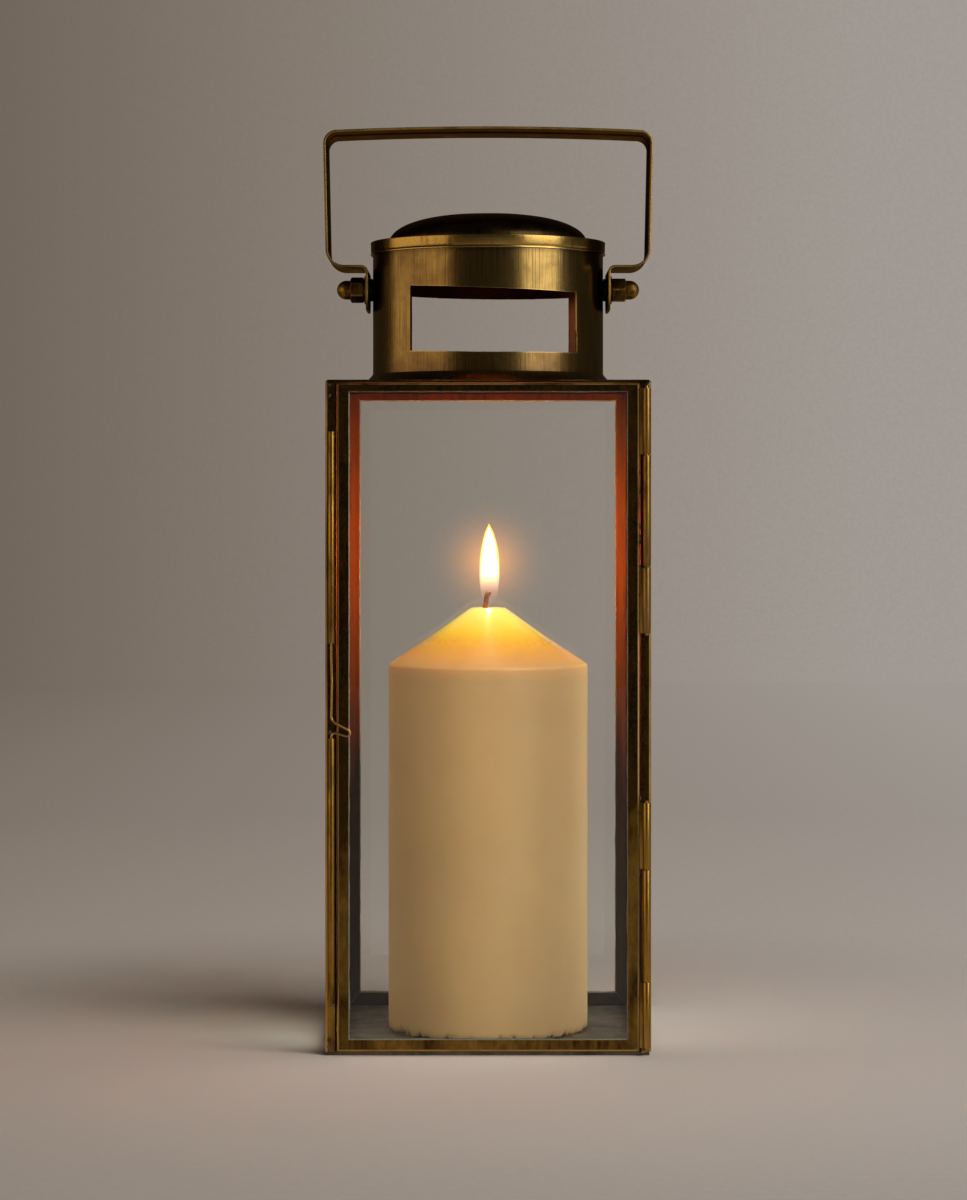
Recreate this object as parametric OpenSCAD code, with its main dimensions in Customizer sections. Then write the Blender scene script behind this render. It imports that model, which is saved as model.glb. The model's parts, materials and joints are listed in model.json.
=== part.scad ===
// Candle lantern: a glazed brass box with a hinged front door, a round ventilated chimney,
// a folded strap handle on two bolts, a bent wire catch, and a pillar candle inside.
// Millimetres. Z points up, X to the right, the door faces -Y. The origin is the centre of
// the base, on the surface that the lantern stands on.

/* [Body] */
// Width and depth over the corner posts
body_w = 110; // [104:1:130]
// Height of the top plate's upper face
body_h = 228; // [215:1:260]
// Thickness of the top plate
plate_t = 0.8; // [0.6:0.1:1.2]
// Thickness of the base sheet
base_t = 1.2; // [0.8:0.1:2]
// Sheet thickness of the corner posts
post_t = 0.6; // [0.5:0.1:0.7]
// Leg length of the corner posts
post_leg = 7; // [5:0.5:8]
// Radius of the top plate's corners
plate_corner_r = 1.5; // [1:0.5:3]

/* [Glazed panels] */
// Thickness of the glass
pane_t = 1.9; // [1.5:0.1:1.9]
// Overall thickness of a panel's channel frame
panel_t = 3; // [2.9:0.1:3]
// Sheet thickness of the channel
channel_t = 0.5; // [0.4:0.1:0.5]
// Width of the fixed panels' upright channels
stile_w = 4.1; // [3.5:0.1:5]
// Width of the top channels
top_rail_w = 2.8; // [2:0.1:4]
// Width of the fixed panels' bottom channels
bottom_rail_w = 4.8; // [3.5:0.1:6]

/* [Door] */
// Overall thickness of the door
door_t = 2.8; // [2.8:0.1:3]
// Width of the door's upright and bottom channels
door_strip_w = 3.9; // [3.5:0.1:5]
// Gap round the door
door_gap = 0.4; // [0.3:0.1:0.5]
// Outside diameter of the hinge knuckles
knuckle_d = 2.5; // [2.3:0.1:2.6]
// Diameter of the hinge pins
pin_d = 1.2; // [1:0.1:1.3]
// Length of a knuckle on the door
door_knuckle_len = 22.6; // [15:0.1:24]
// Length of a knuckle on the post
post_knuckle_len = 37.8; // [30:0.1:40]
// Height of the lower hinge's bottom end
lower_hinge_z = 2.6; // [2.5:0.1:10]
// Gap between the upper hinge's top end and the top plate
upper_hinge_drop = 1.8; // [1:0.1:10]

/* [Catch] */
// Diameter of the catch wire
wire_d = 0.8; // [0.6:0.1:0.9]
// Outside diameter of the two sleeves it turns in
sleeve_d = 2.2; // [2:0.1:2.4]
// Height of the catch's loop
catch_z = 108; // [100:1:120]
// How far the loop reaches across the door, from its turning axis
catch_reach = 6.3; // [5.5:0.1:8]
// Length of the lower sleeve
lower_sleeve_len = 89.5; // [60:0.5:90]
// Length of the upper sleeve
upper_sleeve_len = 71.5; // [50:0.5:80]
// Bare wire above the loop, up to the upper sleeve
bare_wire_len = 31; // [20:1:40]

/* [Chimney] */
// Outside radius of the collar
collar_r = 40.7; // [36:0.1:41]
// Wall thickness of the collar and the lid
collar_t = 0.8; // [0.6:0.1:1]
// Height of the collar over the top plate, to the top of the lid's rim
collar_h = 50.3; // [45:0.1:56]
// Radius of the hole in the top plate
throat_r = 38; // [30:1:39]
// Angle that a window takes of the collar
window_angle = 90.4; // [60:0.2:96]
// Height of the windows' lower edge over the top plate
window_lift = 10.1; // [8:0.1:12]
// Height of a window
window_h = 22.8; // [15:0.1:23]
// How far the front window is punched off the centre line, in degrees
front_window_turn = 3.7; // [-5:0.1:5]
// The same for the rear window
rear_window_turn = 1.7; // [-5:0.1:5]
// Height of the flared foot
flare_h = 3; // [2:0.1:4]
// How far the foot flares out
flare_w = 1.7; // [1:0.1:2]

/* [Lid] */
// Height of the rim band
rim_h = 4.5; // [3:0.1:6]
// Radius of the dome
dome_r = 35; // [30:0.1:36]
// Height of the dome over the rim
dome_h = 10.4; // [6:0.1:16]

/* [Handle] */
// Width of the strap
strap_w = 30; // [20:1:32]
// Thickness of the strap
strap_t = 0.9; // [0.8:0.1:1]
// Height of the handle over its pivot
handle_h = 56.3; // [45:0.1:70]
// Half the handle's width at the top, outside
handle_half_w = 57.6; // [56:0.1:64]
// How much further in the legs stand at their lower end
leg_lean = 0.8; // [0:0.1:2]
// How far the top bar is bowed
bar_bow = 1.2; // [0:0.1:2]
// Height of the flat feet over the pivot
foot_h = 7.45; // [7:0.05:8]
// Bend radius at the top corners
top_bend_r = 4.2; // [3:0.1:8]
// Bend radius at the feet
foot_bend_r = 6; // [4:0.1:7]
// Diameter of the pivot bolts
bolt_d = 5; // [4:0.5:5]
// Width across flats of the bolt heads and acorn nuts
nut_af = 8; // [8:0.5:9]

/* [Candle] */
// Diameter of the candle
candle_d = 70.4; // [50:0.1:76]
// Height of its straight side
candle_side_h = 128.8; // [60:0.1:140]
// Height of its cone
candle_cone_h = 19.5; // [5:0.1:30]
// Diameter of the flat top
candle_top_d = 13; // [8:0.5:20]
// Length of bare wick
wick_len = 6.5; // [3:0.5:12]

/* [Hidden] */
$fn = 72;
FIT = 0.05;             // running clearance, radial
TOUCH = 0.05;           // gap between pieces that lie on each other
CUT = 1;                // how far a cutter runs past the solid
BEND_SWELL = 1.06;      // a bend in a wire over the wire's own radius
BRASS = "#8a6a2f";
DARK_BRASS = "#4a3717";
GLASS = [0.75, 0.85, 0.8, 0.3];

half = body_w / 2;
floor_z = base_t;                           // top of the base sheet
plate_z = body_h - plate_t;                 // underside of the top plate
post_front_y = -half + 0.8;                 // front face of the front posts
panel_out = half - post_t;                  // outer face of the fixed panels
panel_in = panel_out - panel_t;             // inner face of the fixed panels
side_front_y = post_front_y + post_t + TOUCH;
door_half = panel_in - door_gap;
door_z0 = floor_z + 0.2;
door_z1 = plate_z - 0.3;
flange_w = half - door_half - 0.7;          // front leg of a front post, clear of the door

hinge_x = half - 1.6;
knuckle_r = knuckle_d / 2;
hinge_y = post_front_y - knuckle_r - 0.3;
KNUCKLE_GAP = 0.3;
hinge_len = 2 * door_knuckle_len + post_knuckle_len;
upper_hinge_z = plate_z - upper_hinge_drop - hinge_len;
LEAF_T = 1;
LEAF_BACK = 0.4;                            // door leaf's middle, behind the door's face
LEAF_STEP = 0.3;                            // how much less deep the leaf is at the knuckle

sleeve_r = sleeve_d / 2;
catch_x = -(half - 2.1);
catch_y = post_front_y - sleeve_r;
LOOP_PROUD = 1.05;                          // how far forward of its axis the loop stands

chimney_z = body_h;
lid_z = chimney_z + collar_h;               // top of the rim band
rim_r = collar_r + collar_t;
window_z0 = chimney_z + window_lift;
WINDOW_REACH = 60;                          // outer end of the wedge that cuts a window

pivot_z = chimney_z + 33.7;
bolt_r = bolt_d / 2;
spacer_x0 = collar_r + TOUCH;
ear_in = rim_r + 0.4;
ear_out = ear_in + strap_t;
EAR_DROP = 7.7;                             // ear below the pivot
EAR_CORNER_R = 5;
EAR_BEND_R = 2;
WASHER_T = 0.8;
WASHER_R = 5;
SPACER_R = 4;
HEX_LEN = 4.9;
ACORN_R = 3.35;
ACORN_LEN = 4.8;
HEAD_LEN = 3.5;
inner_washer_x = sqrt(pow(collar_r - collar_t, 2) - pow(WASHER_R, 2)) - TOUCH - WASHER_T;
nut_x = ear_out + TOUCH + WASHER_T + TOUCH;

// ---- shared shapes ----

// A box from its lowest to its highest corner.
module block(low, high) {
    translate(low) cube(high - low);
}

// A round bar along X, from x0 to x1.
module bar_x(x0, x1, r) {
    translate([x0, 0, 0]) rotate([0, 90, 0]) cylinder(r = r, h = x1 - x0);
}

// A tube that stands on z0.
module tube(r_out, r_in, z0, z1) {
    difference() {
        translate([0, 0, z0]) cylinder(r = r_out, h = z1 - z0);
        translate([0, 0, z0 - CUT]) cylinder(r = r_in, h = z1 - z0 + 2 * CUT);
    }
}

// A piece of bent wire between two points, with a slightly fuller round bend at the first.
module wire_run(from, to, r) {
    run = to - from;
    flat = norm([run.x, run.y]);
    translate(from) {
        sphere(r = r * BEND_SWELL);
        rotate([0, atan2(flat, run.z), atan2(run.y, run.x)]) cylinder(r = r, h = norm(run));
    }
}

// ---- glazed panels: four channels, mitred at the corners, that hold a pane ----

// Outline of one channel of a frame from (u0, z0) to (u1, z1). side is 0 for the upright at
// u0, 1 for the upright at u1, 2 for the bottom and 3 for the top.
function strip_outline(side, u0, u1, z0, z1, stile, bottom, top) =
    side == 0 ? [[u0, z0], [u0 + stile, z0 + bottom], [u0 + stile, z1 - top], [u0, z1]] :
    side == 1 ? [[u1, z0], [u1 - stile, z0 + bottom], [u1 - stile, z1 - top], [u1, z1]] :
    side == 2 ? [[u0, z0], [u0 + stile, z0 + bottom], [u1 - stile, z0 + bottom], [u1, z0]] :
                [[u0, z1], [u0 + stile, z1 - top], [u1 - stile, z1 - top], [u1, z1]];

// One channel, standing in the XZ plane, with its outer face at y0 and its inner at y0 + thick.
module strip(side, u0, u1, z0, z1, y0, thick, stile, bottom, top) {
    groove = thick - 2 * channel_t;
    difference() {
        translate([0, y0 + thick, 0]) rotate([90, 0, 0]) linear_extrude(thick)
            polygon(strip_outline(side, u0, u1, z0, z1, stile, bottom, top));
        block([u0 + channel_t, y0 + channel_t, z0 + channel_t],
              [u1 - channel_t, y0 + channel_t + groove, z1 - channel_t]);
    }
}

// The pane of such a frame, a little smaller than the groove that holds it.
module pane(u0, u1, z0, z1, y0, thick) {
    inset = channel_t + 0.2;
    depth = min(pane_t, thick - 2 * channel_t - 0.1);
    block([u0 + inset, y0 + (thick - depth) / 2, z0 + inset],
          [u1 - inset, y0 + (thick + depth) / 2, z1 - inset]);
}

module rear_strip(side) {
    color(DARK_BRASS) strip(side, -panel_in, panel_in, floor_z, plate_z,
        panel_in, panel_t, stile_w, bottom_rail_w, top_rail_w);
}

// The left panel is drawn facing front and turned; right = true mirrors it to the other side.
module side_place(right) {
    mirror([right ? 1 : 0, 0, 0]) rotate([0, 0, 90]) children();
}

module side_strip(side, right) {
    color(DARK_BRASS) side_place(right) strip(side, side_front_y, panel_out, floor_z, plate_z,
        panel_in, panel_t, stile_w, bottom_rail_w, top_rail_w);
}

module side_pane(right) {
    color(GLASS) side_place(right)
        pane(side_front_y, panel_out, floor_z, plate_z, panel_in, panel_t);
}

module left_front_stile() { side_strip(0, false); }
module left_rear_stile() { side_strip(1, false); }
module left_bottom_rail() { side_strip(2, false); }
module left_top_rail() { side_strip(3, false); }
module left_glass() { side_pane(false); }

module right_front_stile() { side_strip(0, true); }
module right_rear_stile() { side_strip(1, true); }
module right_bottom_rail() { side_strip(2, true); }
module right_top_rail() { side_strip(3, true); }
module right_glass() { side_pane(true); }

module rear_left_stile() { rear_strip(0); }
module rear_right_stile() { rear_strip(1); }
module rear_bottom_rail() { rear_strip(2); }
module rear_top_rail() { rear_strip(3); }
module rear_glass() {
    color(GLASS) pane(-panel_in, panel_in, floor_z, plate_z, panel_in, panel_t);
}

// ---- base, top plate and posts ----

// A flat sheet, set back a little under the panels and the posts.
module base_tray() {
    color(DARK_BRASS) block([-panel_out, side_front_y, 0], [panel_out, panel_out, floor_z]);
}

module top_plate() {
    inner = half - plate_corner_r;
    color(BRASS) difference() {
        union() {
            block([-half, -inner, plate_z], [half, inner, body_h]);
            block([-inner, -half, plate_z], [inner, half, body_h]);
            for (x = [-inner, inner], y = [-inner, inner])
                translate([x, y, plate_z]) cylinder(r = plate_corner_r, h = plate_t);
        }
        translate([0, 0, plate_z - CUT]) cylinder(r = throat_r, h = plate_t + 2 * CUT);
    }
}

// A front post at the left: a narrow leg beside the door and a wide one along the side.
module front_post() {
    color(BRASS) {
        block([-half, post_front_y, floor_z], [-half + flange_w, post_front_y + post_t, plate_z]);
        block([-half, post_front_y, floor_z], [-half + post_t, post_front_y + post_leg, plate_z]);
    }
}

// A rear post at the left, with two wide legs.
module rear_post() {
    color(BRASS) {
        block([-half, half - post_t, floor_z], [-half + post_leg, half, plate_z]);
        block([-half, half - post_leg, floor_z], [-half + post_t, half, plate_z]);
    }
}

module post_front_left() { front_post(); }
module post_front_right() { mirror([1, 0, 0]) front_post(); }
module post_rear_left() { rear_post(); }
module post_rear_right() { mirror([1, 0, 0]) rear_post(); }

// ---- chimney and lid ----

// The wedge that punches one window, centred on -Y and then turned.
module window_cutter(turn) {
    spread = WINDOW_REACH * tan(window_angle / 2);
    rotate([0, 0, turn]) translate([0, 0, window_z0]) linear_extrude(window_h)
        polygon([[0, 0], [-spread, -WINDOW_REACH], [spread, -WINDOW_REACH]]);
}

module chimney_collar() {
    color(BRASS) difference() {
        tube(collar_r, collar_r - collar_t, chimney_z, lid_z - collar_t - TOUCH);
        window_cutter(front_window_turn);
        window_cutter(180 - rear_window_turn);
        translate([0, 0, pivot_z]) bar_x(-WINDOW_REACH, WINDOW_REACH, bolt_r + FIT);
    }
}

// A quarter-round flare between the collar and the top plate.
module chimney_foot_ring() {
    r0 = collar_r + TOUCH;
    lip = 0.3;
    steps = 8;
    curve = [for (i = [0:steps]) let (a = 90 * i / steps)
        [r0 + lip + flare_w * (1 - sin(a)), chimney_z + lip + (flare_h - lip) * (1 - cos(a))]];
    color(BRASS) rotate_extrude()
        polygon(concat([[r0, chimney_z], [r0 + lip + flare_w, chimney_z]], curve,
                       [[r0, chimney_z + flare_h]]));
}

// The rim is a band over the collar's top with a flat ledge that carries the dome.
module lid_rim() {
    ledge_in = dome_r - 1.5;
    color(BRASS) {
        tube(rim_r, collar_r + TOUCH, lid_z - rim_h, lid_z);
        tube(rim_r, ledge_in, lid_z - collar_t, lid_z);
    }
}

// Height of the dome's curve: nearly flat in the middle and steep at its edge.
function dome_curve(r, h, steps) =
    [for (i = [0:steps]) let (a = 90 * i / steps) [r * pow(sin(a), 0.8), h * cos(a)]];

module lid_dome() {
    steps = 28;
    outer = dome_curve(dome_r, dome_h, steps);
    inner = dome_curve(dome_r - collar_t, dome_h - collar_t, steps);
    color(DARK_BRASS) translate([0, 0, lid_z]) rotate_extrude()
        polygon(concat(outer, [for (i = [steps:-1:0]) inner[i]]));
}

// ---- pivots: bolt, washers, spacer and acorn nut, drawn at +X ----

module at_pivot(left) {
    mirror([left ? 1 : 0, 0, 0]) translate([0, 0, pivot_z]) children();
}

// A hexagonal bar along X, turned about it.
module hex_x(x0, x1, af, turn) {
    translate([x0, 0, 0]) rotate([turn, 0, 0]) rotate([0, 90, 0])
        cylinder(d = af / cos(30), h = x1 - x0, $fn = 6);
}

module washer(x0, thick, r, bore) {
    difference() {
        bar_x(x0, x0 + thick, r);
        bar_x(x0 - CUT, x0 + thick + CUT, bore);
    }
}

module pivot_bolt(left) {
    color(DARK_BRASS) at_pivot(left) {
        hex_x(inner_washer_x - TOUCH - HEAD_LEN, inner_washer_x - TOUCH, nut_af, 0);
        bar_x(inner_washer_x - TOUCH - CUT, nut_x + HEX_LEN, bolt_r);
    }
}

module inner_washer(left) {
    color(DARK_BRASS) at_pivot(left)
        washer(inner_washer_x, WASHER_T, WASHER_R, bolt_r + FIT);
}

module pivot_spacer(left) {
    color(DARK_BRASS) at_pivot(left)
        washer(spacer_x0, ear_in - TOUCH - spacer_x0, SPACER_R, bolt_r + FIT);
}

module outer_washer(left) {
    color(BRASS) at_pivot(left)
        washer(ear_out + TOUCH, WASHER_T, WASHER_R, bolt_r + FIT);
}

module acorn_nut(left, turn) {
    neck = ACORN_LEN - ACORN_R;
    color(BRASS) at_pivot(left) difference() {
        union() {
            hex_x(nut_x, nut_x + HEX_LEN, nut_af, turn);
            bar_x(nut_x + HEX_LEN - CUT, nut_x + HEX_LEN + neck, ACORN_R);
            translate([nut_x + HEX_LEN + neck, 0, 0]) sphere(r = ACORN_R);
        }
        bar_x(nut_x - CUT, nut_x + HEX_LEN + TOUCH, bolt_r + FIT);
    }
}

module pivot_bolt_left() { pivot_bolt(true); }
module pivot_bolt_right() { pivot_bolt(false); }
module inner_washer_left() { inner_washer(true); }
module inner_washer_right() { inner_washer(false); }
module pivot_spacer_left() { pivot_spacer(true); }
module pivot_spacer_right() { pivot_spacer(false); }
module outer_washer_left() { outer_washer(true); }
module outer_washer_right() { outer_washer(false); }
module acorn_nut_left() { acorn_nut(true, 0); }
module acorn_nut_right() { acorn_nut(false, 30); }

// ---- handle: one strap, bent up at the feet and in at the top ----

// Points on a bend from angle a0 to a1 about a centre.
function bend(centre, r, a0, a1, steps) =
    [for (i = [0:steps]) let (a = a0 + (a1 - a0) * i / steps) centre + r * [cos(a), sin(a)]];

// Middle line of the right half of the strap, from the ear's lower end to the bar's middle,
// as [x, height over the pivot].
function strap_half() =
    let (
        mid_t = strap_t / 2,
        ear = ear_in + mid_t,
        foot = foot_h,
        leg_low = handle_half_w - leg_lean - mid_t,
        leg_high = handle_half_w - mid_t,
        crown = handle_h - mid_t,
        corner_z = crown - bar_bow - top_bend_r,
        corner_x = leg_high - top_bend_r,
        bar_steps = 8
    )
    concat(
        [[ear, -EAR_DROP]],
        bend([ear + EAR_BEND_R, foot - EAR_BEND_R], EAR_BEND_R, 180, 90, 6),
        bend([leg_low - foot_bend_r, foot + foot_bend_r], foot_bend_r, -90, 0, 12),
        bend([corner_x, corner_z], top_bend_r, 0, 90, 10),
        [for (i = [1:bar_steps]) let (x = corner_x * (1 - i / bar_steps))
            [x, crown - bar_bow * pow(x / corner_x, 2)]]
    );

// Unit normal of a line of points at one of them, from its neighbours.
function normal_at(line, i) =
    let (
        step = line[min(i + 1, len(line) - 1)] - line[max(i - 1, 0)],
        unit = step / norm(step)
    )
    [-unit.y, unit.x];

// Outline of a strap of the given thickness along a line of points.
function strap_outline(line, thick) = concat(
    [for (i = [0:len(line) - 1]) line[i] + normal_at(line, i) * thick / 2],
    [for (i = [len(line) - 1:-1:0]) line[i] - normal_at(line, i) * thick / 2]
);

module handle_strap() {
    right_half = strap_half();
    left_half = [for (i = [len(right_half) - 2:-1:0]) [-right_half[i].x, right_half[i].y]];
    reach = ear_out + CUT;
    corner = strap_w / 2;
    color(BRASS) translate([0, 0, pivot_z]) difference() {
        translate([0, corner, 0]) rotate([90, 0, 0]) linear_extrude(strap_w)
            polygon(strap_outline(concat(right_half, left_half), strap_t));
        bar_x(-reach, reach, bolt_r + FIT);
        for (end = [-1, 1]) ear_corner(end, reach);
    }
}

// What rounds one lower corner off both ears.
module ear_corner(end, reach) {
    mid_y = end * (strap_w / 2 - EAR_CORNER_R);
    far_y = end * (strap_w / 2 + CUT);
    mid_z = EAR_CORNER_R - EAR_DROP;
    difference() {
        block([-reach, min(mid_y, far_y), -EAR_DROP - CUT], [reach, max(mid_y, far_y), mid_z]);
        translate([0, mid_y, mid_z]) bar_x(-reach - CUT, reach + CUT, EAR_CORNER_R);
    }
}

// ---- door, its hinges and its catch ----

module door_strip(side) {
    color(BRASS) strip(side, -door_half, door_half, door_z0, door_z1,
        -half, door_t, door_strip_w, door_strip_w, top_rail_w);
}

module door_left_stile() { door_strip(0); }
module door_right_stile() { door_strip(1); }
module door_bottom_rail() { door_strip(2); }
module door_top_rail() { door_strip(3); }
module door_glass() {
    color(GLASS) pane(-door_half, door_half, door_z0, door_z1, -half, door_t);
}

// A knuckle on the hinge axis with a leaf: to the door's edge, or back to the post.
module knuckle(z0, len, on_door) {
    leaf_y = -half + LEAF_BACK - LEAF_T / 2 - hinge_y;
    leaf_low = on_door ? [door_half - hinge_x, leaf_y] : [-LEAF_T / 2, 0];
    leaf_high = on_door ? [0, leaf_y + LEAF_T - LEAF_STEP] : [LEAF_T / 2, post_front_y - hinge_y];
    color(BRASS) translate([hinge_x, hinge_y, 0]) difference() {
        union() {
            translate([0, 0, z0]) cylinder(r = knuckle_r, h = len);
            block([leaf_low.x, leaf_low.y, z0], [leaf_high.x, leaf_high.y, z0 + len]);
        }
        translate([0, 0, z0 - CUT]) cylinder(d = pin_d + 2 * FIT, h = len + 2 * CUT);
    }
}

// The three knuckles of a hinge stack upwards: door, post, door.
module hinge_knuckle(hinge_z, place) {
    post_z = hinge_z + door_knuckle_len;
    top_z = post_z + post_knuckle_len;
    if (place == "bottom") knuckle(hinge_z, door_knuckle_len - KNUCKLE_GAP, true);
    if (place == "middle") knuckle(post_z, post_knuckle_len - KNUCKLE_GAP, false);
    if (place == "top") knuckle(top_z, door_knuckle_len - KNUCKLE_GAP, true);
}

module hinge_pin(hinge_z) {
    spare = 0.6;
    color(BRASS) translate([hinge_x, hinge_y, hinge_z - spare])
        cylinder(d = pin_d, h = hinge_len + 2 * spare);
}

module door_knuckle_upper_top() { hinge_knuckle(upper_hinge_z, "top"); }
module post_knuckle_upper() { hinge_knuckle(upper_hinge_z, "middle"); }
module door_knuckle_upper_bottom() { hinge_knuckle(upper_hinge_z, "bottom"); }
module door_knuckle_lower_top() { hinge_knuckle(lower_hinge_z, "top"); }
module post_knuckle_lower() { hinge_knuckle(lower_hinge_z, "middle"); }
module door_knuckle_lower_bottom() { hinge_knuckle(lower_hinge_z, "bottom"); }
module hinge_pin_upper() { hinge_pin(upper_hinge_z); }
module hinge_pin_lower() { hinge_pin(lower_hinge_z); }

module catch_sleeve(z0, len) {
    color(BRASS) translate([catch_x, catch_y, 0])
        tube(sleeve_r, wire_d / 2 + FIT, z0, z0 + len);
}

module catch_sleeve_upper() { catch_sleeve(catch_z + bare_wire_len, upper_sleeve_len); }
module catch_sleeve_lower() { catch_sleeve(catch_z - 1 - lower_sleeve_len, lower_sleeve_len); }

// The wire turns in both sleeves, and its loop lies across the door's edge.
module catch_wire() {
    r = wire_d / 2;
    top = catch_z + bare_wire_len + upper_sleeve_len - 3;
    bottom = catch_z - 1 - lower_sleeve_len + 3;
    loop = [
        [0, 0, catch_z + 5.6],
        [0.9, -LOOP_PROUD, catch_z + 4.4],
        [catch_reach - 1, -LOOP_PROUD, catch_z + 2],
        [catch_reach - 0.2, -LOOP_PROUD, catch_z + 1.5],
        [catch_reach, -LOOP_PROUD, catch_z + 0.7],
        [catch_reach - 0.3, -LOOP_PROUD, catch_z],
        [catch_reach - 1, -LOOP_PROUD, catch_z - 0.3],
        [1.3, -LOOP_PROUD, catch_z + 0.9],
        [0.4, -LOOP_PROUD / 2, catch_z + 0.6],
        [0, 0, catch_z - 0.4]
    ];
    color(BRASS) translate([catch_x, catch_y, 0]) {
        translate([0, 0, loop[0].z]) cylinder(r = r, h = top - loop[0].z);
        for (i = [0:len(loop) - 2]) wire_run(loop[i], loop[i + 1], r);
        translate(loop[len(loop) - 1]) sphere(r = r * BEND_SWELL);
        translate([0, 0, bottom]) cylinder(r = r, h = loop[len(loop) - 1].z - bottom);
    }
}

// ---- candle ----

module candle() {
    r = candle_d / 2;
    edge = 1.2;
    shoulder_z = floor_z + TOUCH + candle_side_h;
    steps = 6;
    slope = atan2(candle_cone_h, r - candle_top_d / 2);
    turn = 90 - slope;
    shoulder = [for (i = [0:steps]) let (a = turn * i / steps)
        [r - edge * (1 - cos(a)), shoulder_z - edge + edge * sin(a)]];
    color("#e8d6ad") rotate_extrude() polygon(concat(
        [[0, floor_z + TOUCH], [r, floor_z + TOUCH]], shoulder,
        [[candle_top_d / 2, shoulder_z + candle_cone_h], [0, shoulder_z + candle_cone_h]]));
}

module candle_wick() {
    base_z = floor_z + TOUCH + candle_side_h + candle_cone_h + TOUCH;
    r = 0.9;
    lean = 12;
    color("#33241a") translate([-1, 0, base_z]) {
        cylinder(r = r, h = wick_len / 3);
        translate([0, 0, wick_len / 3]) {
            sphere(r = r * BEND_SWELL);
            rotate([0, lean, 0]) cylinder(r = r, h = wick_len * 2 / 3 - r);
        }
    }
}

base_tray();
top_plate();
post_front_left();
post_front_right();
post_rear_left();
post_rear_right();
left_front_stile();
left_rear_stile();
left_top_rail();
left_bottom_rail();
left_glass();
right_front_stile();
right_rear_stile();
right_top_rail();
right_bottom_rail();
right_glass();
rear_left_stile();
rear_right_stile();
rear_top_rail();
rear_bottom_rail();
rear_glass();
chimney_collar();
chimney_foot_ring();
lid_rim();
lid_dome();
pivot_bolt_left();
pivot_bolt_right();
inner_washer_left();
inner_washer_right();
pivot_spacer_left();
pivot_spacer_right();
outer_washer_left();
outer_washer_right();
acorn_nut_left();
acorn_nut_right();
post_knuckle_upper();
post_knuckle_lower();
hinge_pin_upper();
hinge_pin_lower();
catch_sleeve_upper();
catch_sleeve_lower();
door_left_stile();
door_right_stile();
door_top_rail();
door_bottom_rail();
door_glass();
door_knuckle_upper_top();
door_knuckle_upper_bottom();
door_knuckle_lower_top();
door_knuckle_lower_bottom();
handle_strap();
catch_wire();
candle();
candle_wick();
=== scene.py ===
import json
import math
import random

import bmesh
import bpy
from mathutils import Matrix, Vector, noise

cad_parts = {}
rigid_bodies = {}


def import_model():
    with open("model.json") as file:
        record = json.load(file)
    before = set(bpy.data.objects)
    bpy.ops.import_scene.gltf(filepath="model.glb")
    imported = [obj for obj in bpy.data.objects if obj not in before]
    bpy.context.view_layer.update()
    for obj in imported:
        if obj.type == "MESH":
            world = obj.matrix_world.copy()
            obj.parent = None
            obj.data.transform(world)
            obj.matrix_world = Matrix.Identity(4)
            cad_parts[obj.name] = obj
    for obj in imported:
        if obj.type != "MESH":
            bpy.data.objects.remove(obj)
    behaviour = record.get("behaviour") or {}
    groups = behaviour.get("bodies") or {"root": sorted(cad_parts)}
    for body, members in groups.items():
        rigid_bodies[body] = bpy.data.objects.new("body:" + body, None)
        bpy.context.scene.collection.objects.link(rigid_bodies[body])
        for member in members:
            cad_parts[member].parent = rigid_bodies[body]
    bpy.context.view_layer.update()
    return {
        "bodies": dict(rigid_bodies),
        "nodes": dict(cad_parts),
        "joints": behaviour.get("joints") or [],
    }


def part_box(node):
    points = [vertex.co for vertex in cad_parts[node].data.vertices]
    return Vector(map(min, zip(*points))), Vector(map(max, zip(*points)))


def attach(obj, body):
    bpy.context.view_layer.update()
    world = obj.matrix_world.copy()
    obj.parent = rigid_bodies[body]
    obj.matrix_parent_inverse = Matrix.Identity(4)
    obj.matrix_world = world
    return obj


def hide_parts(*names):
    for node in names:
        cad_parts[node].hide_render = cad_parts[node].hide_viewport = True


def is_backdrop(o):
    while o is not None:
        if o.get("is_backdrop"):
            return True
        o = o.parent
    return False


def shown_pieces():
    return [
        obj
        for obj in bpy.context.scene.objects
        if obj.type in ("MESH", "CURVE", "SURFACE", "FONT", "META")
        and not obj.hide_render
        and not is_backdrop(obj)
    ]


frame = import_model()

MM = 0.001
TAU = 2 * math.pi
random.seed(11)


# ---------------------------------------------------------------- places, from the frame

def low(node):
    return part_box(node)[0]


def high(node):
    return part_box(node)[1]


def size(node):
    return high(node) - low(node)


def heights(node):
    """A node's lowest and highest z."""
    return low(node).z, high(node).z


def joint_place(name):
    return Vector(next(j["pos_m"] for j in frame["joints"] if j["name"] == name))


PLATE_LOW, PLATE_TOP = heights("top_plate")
PIVOT = joint_place("handle_pivot")
HINGE = joint_place("door_hinge")
CATCH = joint_place("catch_turn")
WICK_TOP = high("candle_wick").z
CANDLE_TOP = high("candle").z
FLAME_X = 0.35 * MM
FLAME_LOW, FLAME_TIP = 152.6 * MM, 179.1 * MM
AXIS = 1e-5     # the radius of a turned shape's pole, in metres


# ---------------------------------------------------------------- camera

CAMERA_PLACE = Vector((-1.6 * MM, low("door_glass").y - 1.130, 184.7 * MM))
CAMERA_LENS = 100.5
CAMERA_SHIFT = -0.0767


def make_camera():
    data = bpy.data.cameras.new("camera")
    data.lens = CAMERA_LENS
    data.sensor_width = 36
    data.shift_y = CAMERA_SHIFT
    data.clip_start = 0.05
    data.clip_end = 20
    camera = bpy.data.objects.new("camera", data)
    camera.location = CAMERA_PLACE
    camera.rotation_euler = (math.pi / 2, 0, 0)
    bpy.context.scene.collection.objects.link(camera)
    bpy.context.scene.camera = camera


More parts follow.
